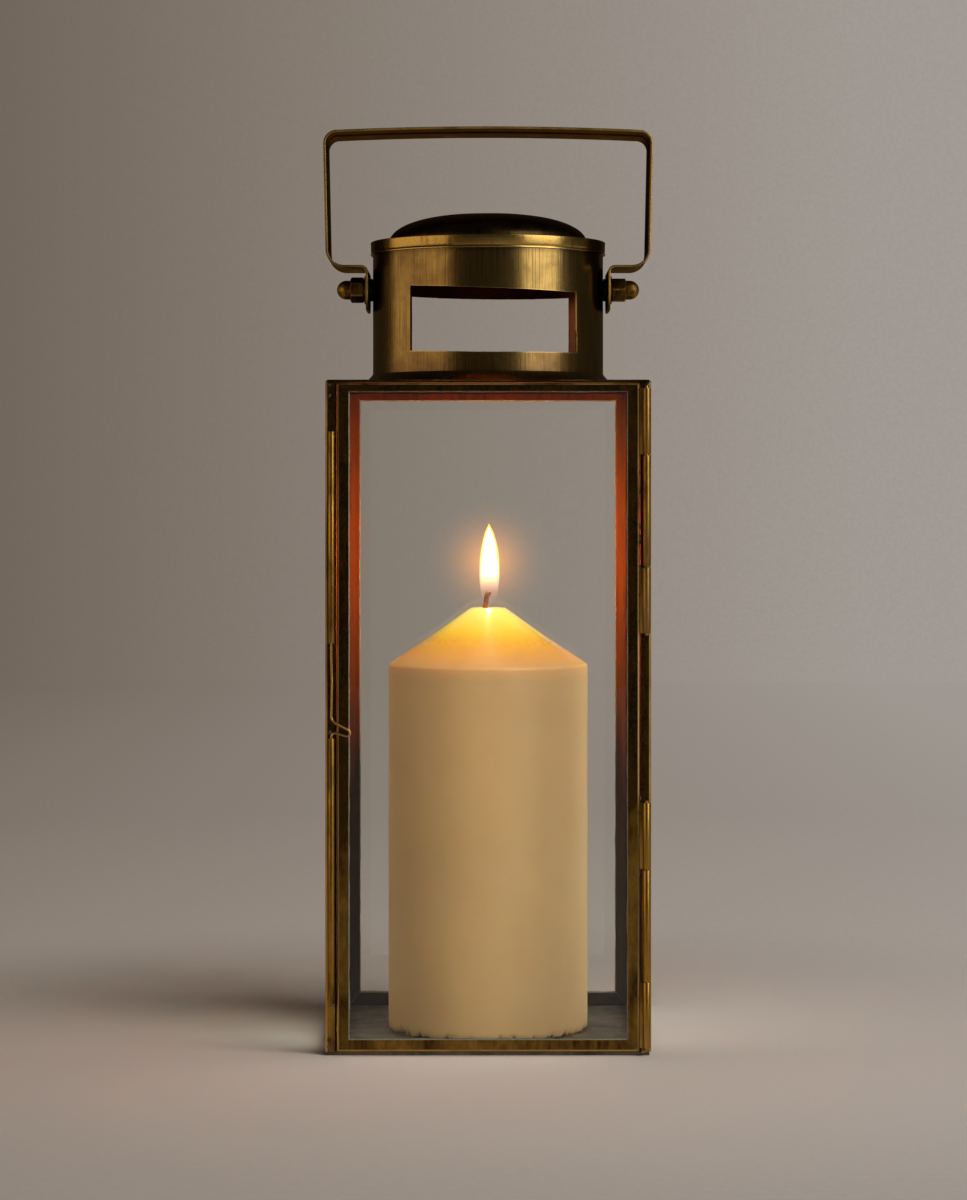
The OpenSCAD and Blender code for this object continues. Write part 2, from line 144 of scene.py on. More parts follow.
# ---------------------------------------------------------------- node helpers

class Tree:
    """A short way to build a material's nodes."""

    def __init__(self, name):
        self.material = bpy.data.materials.new(name)
        self.material.use_nodes = True
        self.nt = self.material.node_tree
        self.nt.nodes.clear()
        self.out = self.node("ShaderNodeOutputMaterial")

    def node(self, kind, **settings):
        n = self.nt.nodes.new(kind)
        for key, value in settings.items():
            setattr(n, key, value)
        return n

    def link(self, source, target):
        self.nt.links.new(source, target)

    def feed(self, socket, value):
        """Links an output to a socket, or sets the socket's own value."""
        if hasattr(value, "links"):
            self.link(value, socket)
        elif isinstance(value, tuple) and len(value) == 3 and socket.type == "RGBA":
            socket.default_value = (*value, 1)
        else:
            socket.default_value = value

    def fill(self, node, **values):
        """Feeds a node's inputs by name and returns its first output."""
        for key, value in values.items():
            self.feed(node.inputs[key.replace("_", " ")], value)
        return node.outputs[0]

    def coords(self, scale=(1, 1, 1)):
        place = self.node("ShaderNodeTexCoord")
        mapping = self.node("ShaderNodeMapping")
        return self.fill(mapping, Scale=scale, Vector=place.outputs["Object"])

    def noise(self, scale, detail=4, rough=0.55, distortion=0.0, stretch=(1, 1, 1)):
        n = self.node("ShaderNodeTexNoise")
        self.fill(n, Scale=scale, Detail=detail, Roughness=rough, Distortion=distortion,
                  Vector=self.coords(stretch))
        return n.outputs["Fac"]

    def ramp(self, source, stops):
        n = self.node("ShaderNodeValToRGB")
        elements = n.color_ramp.elements
        while len(elements) < len(stops):
            elements.new(0.5)
        for element, (place, value) in zip(elements, stops):
            element.position = place
            element.color = (*value, 1)
        self.link(source, n.inputs["Fac"])
        return n.outputs["Color"]

    def greys(self, source, *stops):
        return self.ramp(source, [(place, (value,) * 3) for place, value in stops])

    def fade(self, source, start, end, low_value=0.0, high_value=1.0, kind="LINEAR"):
        n = self.node("ShaderNodeMapRange", interpolation_type=kind)
        return self.fill(n, From_Min=start, From_Max=end, To_Min=low_value, To_Max=high_value,
                         Value=source)

    def math(self, operation, a, b, clamp=False):
        n = self.node("ShaderNodeMath", operation=operation, use_clamp=clamp)
        self.feed(n.inputs[0], a)
        self.feed(n.inputs[1], b)
        return n.outputs[0]

    def total(self, *parts):
        """The sum of (output, weight) parts."""
        weighed = [source if weight == 1 else self.math("MULTIPLY", source, weight)
                   for source, weight in parts]
        result = weighed[0]
        for part in weighed[1:]:
            result = self.math("ADD", result, part)
        return result

    def mix(self, fac, a, b, blend="MIX"):
        n = self.node("ShaderNodeMix", data_type="RGBA", blend_type=blend)
        for socket, value in ((0, fac), (6, a), (7, b)):
            self.feed(n.inputs[socket], value)
        return n.outputs[2]

    def bump(self, height, strength, distance, under=None):
        n = self.node("ShaderNodeBump")
        if under is not None:
            self.link(under, n.inputs["Normal"])
        return self.fill(n, Strength=strength, Distance=distance, Height=height)

    def place(self):
        """A point's x, y and z in metres, as outputs X, Y and Z."""
        split = self.node("ShaderNodeSeparateXYZ")
        self.link(self.coords(), split.inputs[0])
        return split.outputs

    def height(self):
        """The height over the table, in metres."""
        return self.place()["Z"]

    def distance(self, centre):
        """How far a point is from centre, in metres."""
        n = self.node("ShaderNodeVectorMath", operation="DISTANCE")
        self.link(self.coords(), n.inputs[0])
        n.inputs[1].default_value = centre
        return n.outputs["Value"]

    def attribute(self, name):
        return self.node("ShaderNodeAttribute", attribute_name=name).outputs["Fac"]

    def principled(self, **values):
        return self.fill(self.node("ShaderNodeBsdfPrincipled"), **values)

    def glow(self, colour, strength):
        return self.fill(self.node("ShaderNodeEmission"), Color=colour, Strength=strength)

    def clear(self, colour=(1.0, 1.0, 1.0)):
        return self.fill(self.node("ShaderNodeBsdfTransparent"), Color=colour)

    def blend(self, share, a, b):
        n = self.node("ShaderNodeMixShader")
        for socket, value in zip(n.inputs, (share, a, b)):
            self.link(value, socket)
        return n.outputs[0]

    def done(self, shader):
        self.link(shader, self.out.inputs["Surface"])
        return self.material


# ---------------------------------------------------------------- materials

GOLD = (0.40, 0.225, 0.045)
BRIGHT = (0.68, 0.44, 0.14)
BROWN = (0.060, 0.029, 0.0075)
SOOT = (0.012, 0.0075, 0.0035)
# Painted light on the inner faces: candlelight beside the flame, shade away from it, and the
# candle's shadow low down.
PAINTED_CANDLELIGHT = (0.21, 0.056, 0.0045)    # painted candlelight: the flame's red light on the inner faces
PAINTED_FAR_SHADE = (0.034, 0.010, 0.003)
SHADED = (0.018, 0.015, 0.010)


def painted_candlelight_tone(t, streak):
    """The inner faces' painted light: red-brown candlelight beside the flame, painted shade away
    from it, and a painted shadow low down, where the candle shades them."""
    far = t.math("ADD", t.fade(t.height(), 178 * MM, 285 * MM),
                 t.fade(t.height(), 70 * MM, 165 * MM, 1.0, 0.0))
    far = t.math("ADD", far, t.fade(streak, 0.35, 0.7, 0.0, 0.35), clamp=True)
    warm = t.mix(far, PAINTED_CANDLELIGHT, PAINTED_FAR_SHADE)
    return t.mix(t.fade(t.height(), 30 * MM, 78 * MM, 1.0, 0.0), warm, SHADED)


def brass(name, tarnish=0.5, rough=(0.30, 0.46), gold=GOLD, brown=BROWN, seed=0.0, grain=1.0,
          bump=1.0, shine=0.85, handled=0.0):
    """Aged brass: gold that shows through a brown and black patina. The point value per piece is
    how bare an edge is rubbed, or, below 0, an inner face with painted candlelight and shade.
    tarnish is how much of it is dark, and handled how much cleaner it is low down."""
    t = Tree(name)
    cloud = t.noise(48 * grain, 5, 0.62, 0.5, (1 + seed, 1, 0.4))
    blot = t.noise(190 * grain, 4, 0.6, 0.2, (1, 1 + seed, 0.5))
    speck = t.noise(1300, 2, 0.5)
    run = t.noise(420 * grain, 3, 0.6, 0.0, (1, 1, 0.05))
    clean = t.fade(t.height(), 48 * MM, 118 * MM, -handled, 0.0)
    dark = t.total((cloud, 0.5), (blot, 0.3), (run, 0.2), (clean, 1))
    dark = t.fade(dark, 0.66 - 0.42 * tarnish, 0.80 - 0.42 * tarnish)
    soot = t.total((cloud, 0.3), (blot, 0.4), (run, 0.3), (clean, 1))
    soot = t.fade(soot, 0.62 - 0.2 * tarnish, 0.76 - 0.2 * tarnish)
    colour = t.mix(dark, gold, brown)
    colour = t.mix(t.math("MULTIPLY", soot, 0.85), colour, SOOT)
    colour = t.mix(t.fade(speck, 0.4, 0.7, 0.0, 0.3), colour, tuple(c * 0.4 for c in gold))
    # below 0 (inner faces): painted candlelight and painted shade from the flame
    candlelit_share = t.fade(t.attribute("wear_and_painted_candlelight"), -1.0, -0.1, 0.97, 0.0)
    colour = t.mix(candlelit_share, colour, painted_candlelight_tone(t, run))
    worn = t.math("MULTIPLY", t.attribute("wear_and_painted_candlelight"), t.fade(cloud, 0.30, 0.62, 0.35, 1.1))
    worn = t.fade(worn, 0.35, 0.95, 0.0, shine)
    colour = t.mix(worn, colour, BRIGHT)
    roughness = t.total((t.fade(dark, 0, 1, *rough), 1), (t.fade(speck, 0.3, 0.7, 0.0, 0.05), 1),
                        (candlelit_share, 0.15))
    normal = t.bump(blot, 0.10 * bump, 0.0004)
    normal = t.bump(speck, 0.06 * bump, 0.00008, normal)
    return t.done(t.principled(Base_Color=colour, Metallic=1.0, Roughness=roughness,
                               Specular_Tint=(0.75, 0.50, 0.24), Normal=normal))


def brushed_collar(name):
    """The collar's brass: fine upright brushing drawn round the cylinder, brown stains low
    down, and a dark line where the rim and the foot shade it."""
    t = Tree(name)
    place = t.place()
    around = t.math("ARCTAN2", place["Y"], place["X"])
    rolled = t.fill(t.node("ShaderNodeCombineXYZ"), X=t.math("MULTIPLY", around, 13.0),
                    Y=t.math("MULTIPLY", place["Z"], 7.0))
    lines = t.node("ShaderNodeTexNoise")
    t.fill(lines, Scale=6.0, Detail=1.5, Vector=rolled)
    line = lines.outputs["Fac"]
    cloud = t.noise(34, 5, 0.6, 0.8)
    blot = t.noise(150, 4, 0.65, 0.3)
    low_down = t.fade(place["Z"], PLATE_TOP, PLATE_TOP + 24 * MM, 0.13, 0.0)
    mark = t.total((cloud, 0.6), (blot, 0.4), (low_down, 1))
    dark = t.fade(mark, 0.46, 0.72, 0.0, 0.9)
    colour = t.mix(dark, (0.285, 0.185, 0.046), (0.115, 0.055, 0.011))
    colour = t.mix(t.fade(line, 0.46, 0.66, 0.0, 0.6), colour, (0.08, 0.038, 0.009))
    top = high("chimney_collar").z
    under = t.fade(place["Z"], top - 5.5 * MM, top - 3 * MM, 0.0, 0.75)
    foot = t.fade(place["Z"], PLATE_TOP + 1.5 * MM, PLATE_TOP + 5 * MM, 0.45, 0.0)
    colour = t.mix(t.math("ADD", under, foot, clamp=True), colour, (0.025, 0.018, 0.010))
    worn = t.fade(t.attribute("wear_and_painted_candlelight"), 0.4, 1.0, 0.0, 0.55)
    colour = t.mix(worn, colour, BRIGHT)
    # inner face: dark red-brown soot, with painted candlelight in its red
    candlelit_share = t.fade(t.attribute("wear_and_painted_candlelight"), -1.0, -0.1, 0.95, 0.0)
    colour = t.mix(candlelit_share, colour, t.mix(dark, (0.12, 0.022, 0.006), (0.06, 0.012, 0.004)))
    roughness = t.fade(dark, 0, 1, 0.22, 0.34)
    normal = t.bump(line, 0.16, 0.00022)
    normal = t.bump(blot, 0.05, 0.0003, normal)
    return t.done(t.principled(Base_Color=colour, Metallic=1.0, Roughness=roughness,
                               Coat_Weight=0.4, Coat_Roughness=0.24,
                               Specular_Tint=(0.85, 0.62, 0.34), Normal=normal))


def tray_metal(name):
    """The dull grey-brown sheet under the candle, with rub marks."""
    t = Tree(name)
    cloud = t.noise(45, 5, 0.6, 1.0)
    rub = t.noise(400, 3, 0.6, 0.0, (1, 0.12, 1))
    colour = t.mix(t.fade(cloud, 0.35, 0.7), (0.20, 0.165, 0.12), (0.08, 0.068, 0.05))
    colour = t.mix(t.fade(rub, 0.5, 0.75, 0.0, 0.5), colour, (0.30, 0.25, 0.18))
    normal = t.bump(rub, 0.2, 0.0001, t.bump(cloud, 0.2, 0.0008))
    return t.done(t.principled(Base_Color=colour, Metallic=0.85,
                               Roughness=t.fade(cloud, 0.3, 0.7, 0.42, 0.62), Normal=normal))


def solder(name):
    """Tin-lead solder that has tarnished to a warm grey."""
    t = Tree(name)
    blot = t.noise(600, 4, 0.6)
    colour = t.mix(t.fade(blot, 0.35, 0.65), (0.20, 0.145, 0.075), (0.045, 0.034, 0.020))
    return t.done(t.principled(Base_Color=colour, Metallic=0.9,
                               Roughness=t.fade(blot, 0.3, 0.7, 0.28, 0.5),
                               Normal=t.bump(blot, 0.4, 0.0002)))


def clear_glass(name):
    """Window glass with a faint green cast, thin dust and a slightly wavy face."""
    t = Tree(name)
    wave = t.noise(18, 2, 0.5)
    dust = t.noise(900, 3, 0.6)
    colour = t.mix(t.fade(dust, 0.62, 0.8), (0.972, 0.976, 0.965), (0.91, 0.92, 0.90))
    glass = t.principled(Base_Color=colour, Roughness=t.fade(dust, 0.6, 0.8, 0.0, 0.05),
                         Transmission_Weight=1.0, IOR=1.38,
                         Normal=t.bump(wave, 0.03, 0.0006))
    path = t.node("ShaderNodeLightPath")
    return t.done(t.blend(path.outputs["Is Shadow Ray"], glass, t.clear((0.93, 0.96, 0.94))))


def ivory_wax(name):
    """Ivory wax with a painted glow near the flame, for the flame's light in it, fading below the
    shoulder.
    """
    t = Tree(name)
    shoulder = CANDLE_TOP - 19.5 * MM
    cloud = t.noise(30, 4, 0.55, 0.4)
    pore = t.noise(700, 3, 0.6)
    streak = t.noise(60, 3, 0.5, 0.0, (1, 1, 0.12))
    colour = t.mix(t.fade(cloud, 0.3, 0.75), (0.415, 0.281, 0.126), (0.373, 0.244, 0.103))
    colour = t.mix(t.fade(streak, 0.4, 0.7, 0.0, 0.3), colour, (0.446, 0.315, 0.155))
    near = t.fade(t.distance((0.3 * MM, 0.0, CANDLE_TOP + 1.5 * MM)), 4 * MM, 44 * MM)
    near = t.math("ADD", near, t.fade(cloud, 0.3, 0.7, -0.04, 0.04), clamp=True)
    # painted glow: emission that stands for the flame's light inside the wax
    glow = t.ramp(near, [(0.0, (1.0, 0.86, 0.30)), (0.2, (1.0, 0.78, 0.12)),
                         (0.4, (1.0, 0.66, 0.02)), (0.62, (1.0, 0.40, 0.015)),
                         (0.8, (1.0, 0.29, 0.015)), (1.0, (1.0, 0.33, 0.06))])
    fall = t.greys(near, (0.0, 1.0), (0.2, 0.88), (0.4, 0.62), (0.62, 0.40), (0.8, 0.26),
                   (0.93, 0.10), (1.0, 0.0))
    # painted candlelight: the base colour turns orange near the flame
    colour = t.mix(t.fade(near, 0.55, 1.0, 0.85, 0.0), colour, (0.55, 0.27, 0.03))
    under = t.fade(t.height(), shoulder - 9 * MM, shoulder + 1 * MM, 0.0, 1.0)
    strength = t.math("MULTIPLY", fall, under)
    normal = t.bump(pore, 0.06, 0.00010, t.bump(cloud, 0.12, 0.0012))
    gloss = t.math("ADD", t.fade(near, 0.5, 1.0, 0.20, 0.50), t.fade(pore, 0.3, 0.7, 0.0, 0.08))
    return t.done(t.principled(
        Base_Color=colour, Roughness=gloss, Coat_Roughness=0.12,
        Coat_Weight=t.fade(near, 0.55, 1.0, 1.0, 0.0),
        Subsurface_Weight=0.7, Subsurface_Radius=(0.016, 0.008, 0.004), Subsurface_Scale=0.6,
        IOR=1.44, Emission_Color=glow, Emission_Strength=strength, Normal=normal))


def burnt_wick(name):
    """Charred cotton with a painted red glow at its foot, for the flame round it, and a faint
    ember at its tip.
    """
    t = Tree(name)
    twist = t.noise(2600, 3, 0.6, 0.0, (1, 1, 0.4))
    colour = t.mix(t.fade(twist, 0.35, 0.65), (0.030, 0.012, 0.006), (0.11, 0.040, 0.018))
    ember = t.fade(t.height(), WICK_TOP - 3.2 * MM, WICK_TOP - 0.6 * MM, 0.0, 1.0)
    # painted glow: the wick's foot, inside the flame, glows red for the flame's light round it
    foot = t.fade(t.height(), WICK_TOP - 5.5 * MM, WICK_TOP - 2.5 * MM, 0.34, 0.03)
    strength = t.total((ember, 0.05), (foot, 1))
    return t.done(t.principled(Base_Color=colour, Roughness=0.9,
                               Emission_Color=(1.0, 0.22, 0.04), Emission_Strength=strength,
                               Normal=t.bump(twist, 0.6, 0.0002)))


def flame_core(name):
    """The white-hot heart of the flame."""
    t = Tree(name)
    share = t.fade(t.height(), FLAME_LOW + 3 * MM, FLAME_TIP - 1.5 * MM)
    colour = t.ramp(share, [(0.0, (1.0, 0.62, 0.30)), (0.18, (1.0, 0.84, 0.56)),
                            (0.5, (1.0, 0.93, 0.74)), (1.0, (1.0, 0.80, 0.42))])
    power = t.greys(share, (0.0, 0.03), (0.22, 0.05), (0.36, 1.0), (1.0, 0.9))
    solid = t.greys(share, (0.0, 0.0), (0.10, 0.05), (0.24, 0.55), (0.34, 1.0))
    light = t.glow(colour, t.math("MULTIPLY", power, 34.0))
    return t.done(t.blend(solid, t.clear(), light))


def flame_mantle(name):
    """The thin glowing skin of the flame: orange at the sides and clear at the wick."""
    t = Tree(name)
    share = t.fade(t.height(), FLAME_LOW, FLAME_TIP)
    colour = t.ramp(share, [(0.0, (1.0, 0.52, 0.42)), (0.18, (1.0, 0.62, 0.40)),
                            (0.5, (1.0, 0.66, 0.18)), (1.0, (1.0, 0.52, 0.08))])
    solid = t.greys(share, (0.0, 0.02), (0.10, 0.05), (0.17, 0.14), (0.32, 0.42), (0.8, 0.55),
                    (1.0, 0.7))
    return t.done(t.blend(solid, t.clear(), t.glow(colour, 2.2)))


def glazing_putty(name):
    """Greenish-grey cement along the edge of the glass."""
    t = Tree(name)
    lump = t.noise(900, 3, 0.6)
    colour = t.mix(t.fade(lump, 0.3, 0.7), (0.20, 0.20, 0.155), (0.085, 0.085, 0.062))
    return t.done(t.principled(Base_Color=colour, Roughness=t.fade(lump, 0.3, 0.7, 0.35, 0.6),
                               Normal=t.bump(lump, 0.5, 0.0002)))


# ---------------------------------------------------------------- mesh helpers

def mesh_object(name, shape, material):
    """An object from (vertices, faces), its faces turned outwards."""
    verts, faces = shape
    mesh = bpy.data.meshes.new(name)
    mesh.from_pydata([tuple(v) for v in verts], [], faces)
    mesh.validate()
    bm = bmesh.new()
    bm.from_mesh(mesh)
    bmesh.ops.recalc_face_normals(bm, faces=bm.faces)
    bm.to_mesh(mesh)
    bm.free()
    mesh.shade_smooth()
    mesh.materials.append(material)
    obj = bpy.data.objects.new(name, mesh)
    bpy.context.scene.collection.objects.link(obj)
    return obj


def piece(name, shape, material, body, nodes=(), wear_and_painted_candlelight=None, angle=35):
    """Makes one mesh piece that rides on a body and stands for the CAD nodes in 'nodes'. An edge
    sharper than angle, in degrees, stays sharp."""
    obj = mesh_object(name, shape, material)
    if wear_and_painted_candlelight is not None:
        layer = obj.data.attributes.new("wear_and_painted_candlelight", "FLOAT", "POINT")
        layer.data.foreach_set("value", wear_and_painted_candlelight)
    obj.data.set_sharp_from_angle(angle=math.radians(angle))
    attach(obj, body)
    if nodes:
        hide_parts(*nodes)
    return obj


def polar(radius, angle, z=0.0):
    """A point at a radius and an angle round the upright axis."""
    return Vector((radius * math.cos(angle), radius * math.sin(angle), z))


def turns(count):
    """The angles of equal steps round a full turn."""
    return [TAU * i / count for i in range(count)]


def loft(rings, closed=True, capped=True, looped=False):
    """Faces that join rings of equal length. closed joins each ring's ends, capped fills the
    first and last ring, and looped joins the last ring to the first."""
    count, size = len(rings), len(rings[0])
    faces = []
    for i in range(count if looped else count - 1):
        a, b = i * size, ((i + 1) % count) * size
        for j in range(size if closed else size - 1):
            k = (j + 1) % size
            faces.append((a + j, a + k, b + k, b + j))
    if capped and not looped:
        faces.append(tuple(range(size)))
        faces.append(tuple(range((count - 1) * size, count * size)))
    return [v for ring in rings for v in ring], faces


def arc(cx, cy, r, a0, a1, steps):
    """Points on an arc, its angles in degrees."""
    angles = (math.radians(a0 + (a1 - a0) * i / steps) for i in range(steps + 1))
    return [(cx + r * math.cos(a), cy + r * math.sin(a)) for a in angles]


def sweep(points, radius, steps):
    """A round wire along points, with its ends closed. radius may be one per point."""
    rings, side = [], None
    for i, p in enumerate(points):
        before, after = points[max(i - 1, 0)], points[min(i + 1, len(points) - 1)]
        along = (after - before).normalized()
        if side is None:
            side = along.orthogonal().normalized()
        side = (side - along * side.dot(along)).normalized()
        up = along.cross(side)
        r = radius[i] if isinstance(radius, (list, tuple)) else radius
        rings.append([p + (side * math.cos(a) + up * math.sin(a)) * r for a in turns(steps)])
    return loft(rings)


def smooth_path(corners, radius, steps=6):
    """A line through corners, each one rounded with an arc-like curve."""
    points = [corners[0]]
    for before, corner, after in zip(corners, corners[1:], corners[2:]):
        a, b = before - corner, after - corner
        reach = min(radius, a.length * 0.45, b.length * 0.45)
        start, end = corner + a.normalized() * reach, corner + b.normalized() * reach
        for i in range(steps + 1):
            f = i / steps
            points.append(start * (1 - f) ** 2 + corner * (2 * f * (1 - f)) + end * f ** 2)
    points.append(corners[-1])
    return points


# ---------------------------------------------------------------- folded channels

FOLD_R = 0.55 * MM      # radius of a folded brass edge
CUT_R = 0.08 * MM       # the slight rounding of a sheared edge
SHEET = 0.5 * MM
MITRE_GAP = 0.07 * MM   # the open line of a mitre


def channel_profile(width, thick):
    """Cross-section of a folded U: (inward, depth, wear) points. It is open on its inner side,
    where the glass goes in."""
    hold = 0.15 * MM    # keeps the flats flat beside the rounded edges
    outer = [(FOLD_R + hold, 0.0, 0.35)]
    for corner, a0 in (((FOLD_R, FOLD_R), 270), ((FOLD_R, thick - FOLD_R), 180)):
        outer += [(x, y, 1.0) for x, y in arc(*corner, FOLD_R, a0, a0 - 90, 5)]
    outer.append((FOLD_R + hold, thick, 0.35))
    lip_far = [(width - CUT_R - hold, thick, 0.0), (width - CUT_R, thick, 0.15),
               (width, thick - CUT_R, 0.7), (width, thick - SHEET + CUT_R, 0.7),
               (width - CUT_R, thick - SHEET, 0.1)]
    groove = [(SHEET, thick - SHEET, 0.0), (SHEET, SHEET, 0.0)]
    lip_near = [(width - CUT_R, SHEET, 0.1), (width, SHEET - CUT_R, 0.7),
                (width, CUT_R, 0.7), (width - CUT_R, 0.0, 0.15),
                (width - CUT_R - hold, 0.0, 0.0)]
    return outer + lip_far + groove + lip_near


def faces_inward(node, depth, thick):
    """Whether a channel's point at this depth faces into the lantern, and gets painted
    candlelight.
    """
    if node.startswith("door"):
        return depth > thick - 0.6 * SHEET
    return depth > thick / 2


def channel(node, end0, end1, inward, normal, width, mitre0, mitre1, body, material):
    """One strip of a frame from corner end0 to corner end1, its outer face at those corners.
    inward points to the glass and normal to the inner face. mitre0 and mitre1 are how far
    the strip shortens, at its inner edge, at either end."""
    thick = abs(size(node).dot(normal))
    along = (end1 - end0).normalized()
    length = (end1 - end0).length
    profile = channel_profile(width, thick)
    stations = max(6, int(length / (4 * MM)))
    rings = []
    for i in range(stations + 1):
        f = i / stations
        ring = []
        for w, d, _ in profile:
            share = w / width
            start, end = mitre0 * share + MITRE_GAP, length - mitre1 * share - MITRE_GAP
            p = end0 + along * (start + (end - start) * f) + inward * w + normal * d
            if d < thick / 2 and 0 < i < stations:
                p = p + normal * abs(0.02 * MM * noise.noise(p * 40))
            ring.append(p)
        rings.append(ring)
    # inner faces get -1, for painted candlelight and painted shade
    wear_and_painted_candlelight = [-1.0 if faces_inward(node, d, thick) else worn for _, d, worn in profile]
    piece(node + "_fold", loft(rings), material, body, [node], wear_and_painted_candlelight * len(rings))


def glazed_frame(prefix, origin, right, normal, span, levels, widths, body, material):
    """The four channels of one panel. origin is the panel's outer face at mid width."""
    (u0, u1), (z0, z1) = span, levels
    stile, bottom, top = widths
    up = Vector((0, 0, 1))

    def at(u, z):
        return origin + right * u + up * z

    sides = ("front", "rear") if prefix in ("left", "right") else ("left", "right")
    plan = (
        (f"{sides[0]}_stile", at(u0, z0), at(u0, z1), right, stile, bottom, top),
        (f"{sides[1]}_stile", at(u1, z0), at(u1, z1), -right, stile, bottom, top),
        ("bottom_rail", at(u0, z0), at(u1, z0), up, bottom, stile, stile),
        ("top_rail", at(u0, z1), at(u1, z1), -up, top, stile, stile),
    )
    for name, a, b, inward, width, m0, m1 in plan:
        channel(f"{prefix}_{name}", a, b, inward, normal, width, m0, m1, body, material)


def panel_plans():
    """Each panel's name, outer face at mid width, right, normal, span, levels and body."""
    x, y = Vector((1, 0, 0)), Vector((0, 1, 0))
    out, inner = high("rear_left_stile").y, high("rear_bottom_rail").x
    depth = (low("left_front_stile").y, high("left_rear_stile").y)
    levels = heights("rear_left_stile")
    face, half = low("door_left_stile").y, high("door_bottom_rail").x
    return (("rear", y * out, x, -y, (-inner, inner), levels, "body"),
            ("left", x * -out, y, x, depth, levels, "body"),
            ("right", x * out, y, -x, depth, levels, "body"),
            ("door", y * face, x, y, (-half, half), heights("door_left_stile"), "door"))


def make_panels(materials):
    for name, origin, right, normal, span, levels, body in panel_plans():
        kin = "door" if name == "door" else "rear"
        bottom, top = size(f"{kin}_bottom_rail").z, size(f"{kin}_top_rail").z
        stile = bottom if name == "door" else size("rear_left_stile").x
        material = materials["door" if name == "door" else "frame"]
        glazed_frame(name, origin, right, normal, span, levels, (stile, bottom, top), body,
                     material)


# ---------------------------------------------------------------- posts, base and top plate

def angle_profile(leg_a, leg_b, t):
    """Cross-section of a folded angle: (along leg a, along leg b, wear)."""
    r, hold = 0.7 * MM, 0.15 * MM
    fold = [(0, r + hold, 0.3)] + [(x, y, 1.0) for x, y in arc(r, r, r, 180, 270, 6)]
    fold.append((r + hold, 0, 0.3))
    inner = [(x, y, 0.0) for x, y in arc(r, r, r - t, 270, 180, 4)]
    tip_a = [(leg_a - CUT_R - hold, 0, 0.0), (leg_a - CUT_R, 0, 0.3), (leg_a, CUT_R, 0.8),
             (leg_a, t - CUT_R, 0.8), (leg_a - CUT_R, t, 0.3)]
    tip_b = [(t, leg_b - CUT_R, 0.3), (t - CUT_R, leg_b, 0.8), (CUT_R, leg_b, 0.8),
             (0, leg_b - CUT_R, 0.3), (0, leg_b - CUT_R - hold, 0.0)]
    return fold + tip_a + inner + tip_b


def make_posts(material):
    thick, stations = 0.6 * MM, 56
    for node, side, front in (("post_front_left", -1, True), ("post_front_right", 1, True),
                              ("post_rear_left", -1, False), ("post_rear_right", 1, False)):
        a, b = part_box(node)
        corner = Vector((a.x if side < 0 else b.x, a.y if front else b.y, a.z))
        inward = Vector((-side, 0, 0))
        back = Vector((0, 1 if front else -1, 0))
        profile = angle_profile(b.x - a.x, b.y - a.y, thick)
        rings = []
        for i in range(stations + 1):
            ring = []
            for u, v, _ in profile:
                p = corner + inward * u + back * v + Vector((0, 0, (b.z - a.z) * i / stations))
                dent = 0.02 * MM * abs(noise.noise(p * 45))
                ring.append(p + (inward + back) * dent)
            rings.append(ring)
        wear_and_painted_candlelight = [worn for _, _, worn in profile] * len(rings)
        piece(node + "_angle", loft(rings), material, "body", [node], wear_and_painted_candlelight)


def rounded_square(half, r, steps, gap):
    """Points of a corner-rounded square, each with its outward normal, as (x, y, nx, ny)."""
    points = []
    for cx, cy, a0 in ((1, -1, -90), (1, 1, 0), (-1, 1, 90), (-1, -1, 180)):
        for i in range(steps + 1):
            a = math.radians(a0 + 90 * i / steps)
            n = (math.cos(a), math.sin(a))
            points.append((cx * (half - r) + r * n[0], cy * (half - r) + r * n[1], *n))
    spread = []
    for a, b in zip(points, points[1:] + points[:1]):
        count = max(1, int(math.dist(a[:2], b[:2]) / gap))
        for k in range(count):
            f = k / count
            spread.append(tuple(p + (q - p) * f for p, q in zip(a, b)))
    return spread


def make_top_plate(material):
    """The square top plate with its round throat: a rolled front edge and soft worn corners."""
    hole, half = 38 * MM, high("top_plate").x
    soft = 0.25 * MM
    rings, wear_and_painted_candlelight = [], []
    for x, y, nx, ny in rounded_square(half, 1.5 * MM, 8, 3 * MM):
        edge, n = Vector((x, y, 0)), Vector((nx, ny, 0))
        out = edge.normalized()
        dent = 0.06 * MM * abs(noise.noise(edge * 70))
        lack = 1 - edge.length / (half * 1.36)      # 0 at the very corner
        drop = 0.42 * MM * max(0.0, 1 - lack / 0.045) if edge.length > half * 1.30 else 0.0
        levels = [
            (out * hole, PLATE_LOW, 0.2), (out * hole, PLATE_TOP - soft, 0.3),
            (out * (hole + soft), PLATE_TOP, 0.2),
            (out * (hole * 0.6 + edge.length * 0.4), PLATE_TOP - dent, 0.0),
            (edge - n * 4 * MM, PLATE_TOP, 0.0), (edge - n * 3 * soft, PLATE_TOP, 0.25),
            (edge - n * soft, PLATE_TOP - drop * 0.7, 0.5),
            (edge - n * soft * 0.3, PLATE_TOP - soft * 0.3 - drop * 0.8, 0.7),
            (edge, min(PLATE_TOP - soft, PLATE_TOP - drop), 0.6),
            (edge, PLATE_LOW + soft, 0.3),
            (edge - n * soft, PLATE_LOW, 0.3), (edge - n * 4 * MM, PLATE_LOW, 0.0),
            (out * (hole * 0.6 + edge.length * 0.4), PLATE_LOW, 0.0),
        ]
        rings.append([Vector((p.x, p.y, z)) for p, z, _ in levels])
        wear_and_painted_candlelight += [w for _, _, w in levels]
    shape = loft(rings, capped=False, looped=True)
    piece("top_plate_sheet", shape, material, "body", ["top_plate"], wear_and_painted_candlelight, 30)


# ---------------------------------------------------------------- chimney and lid

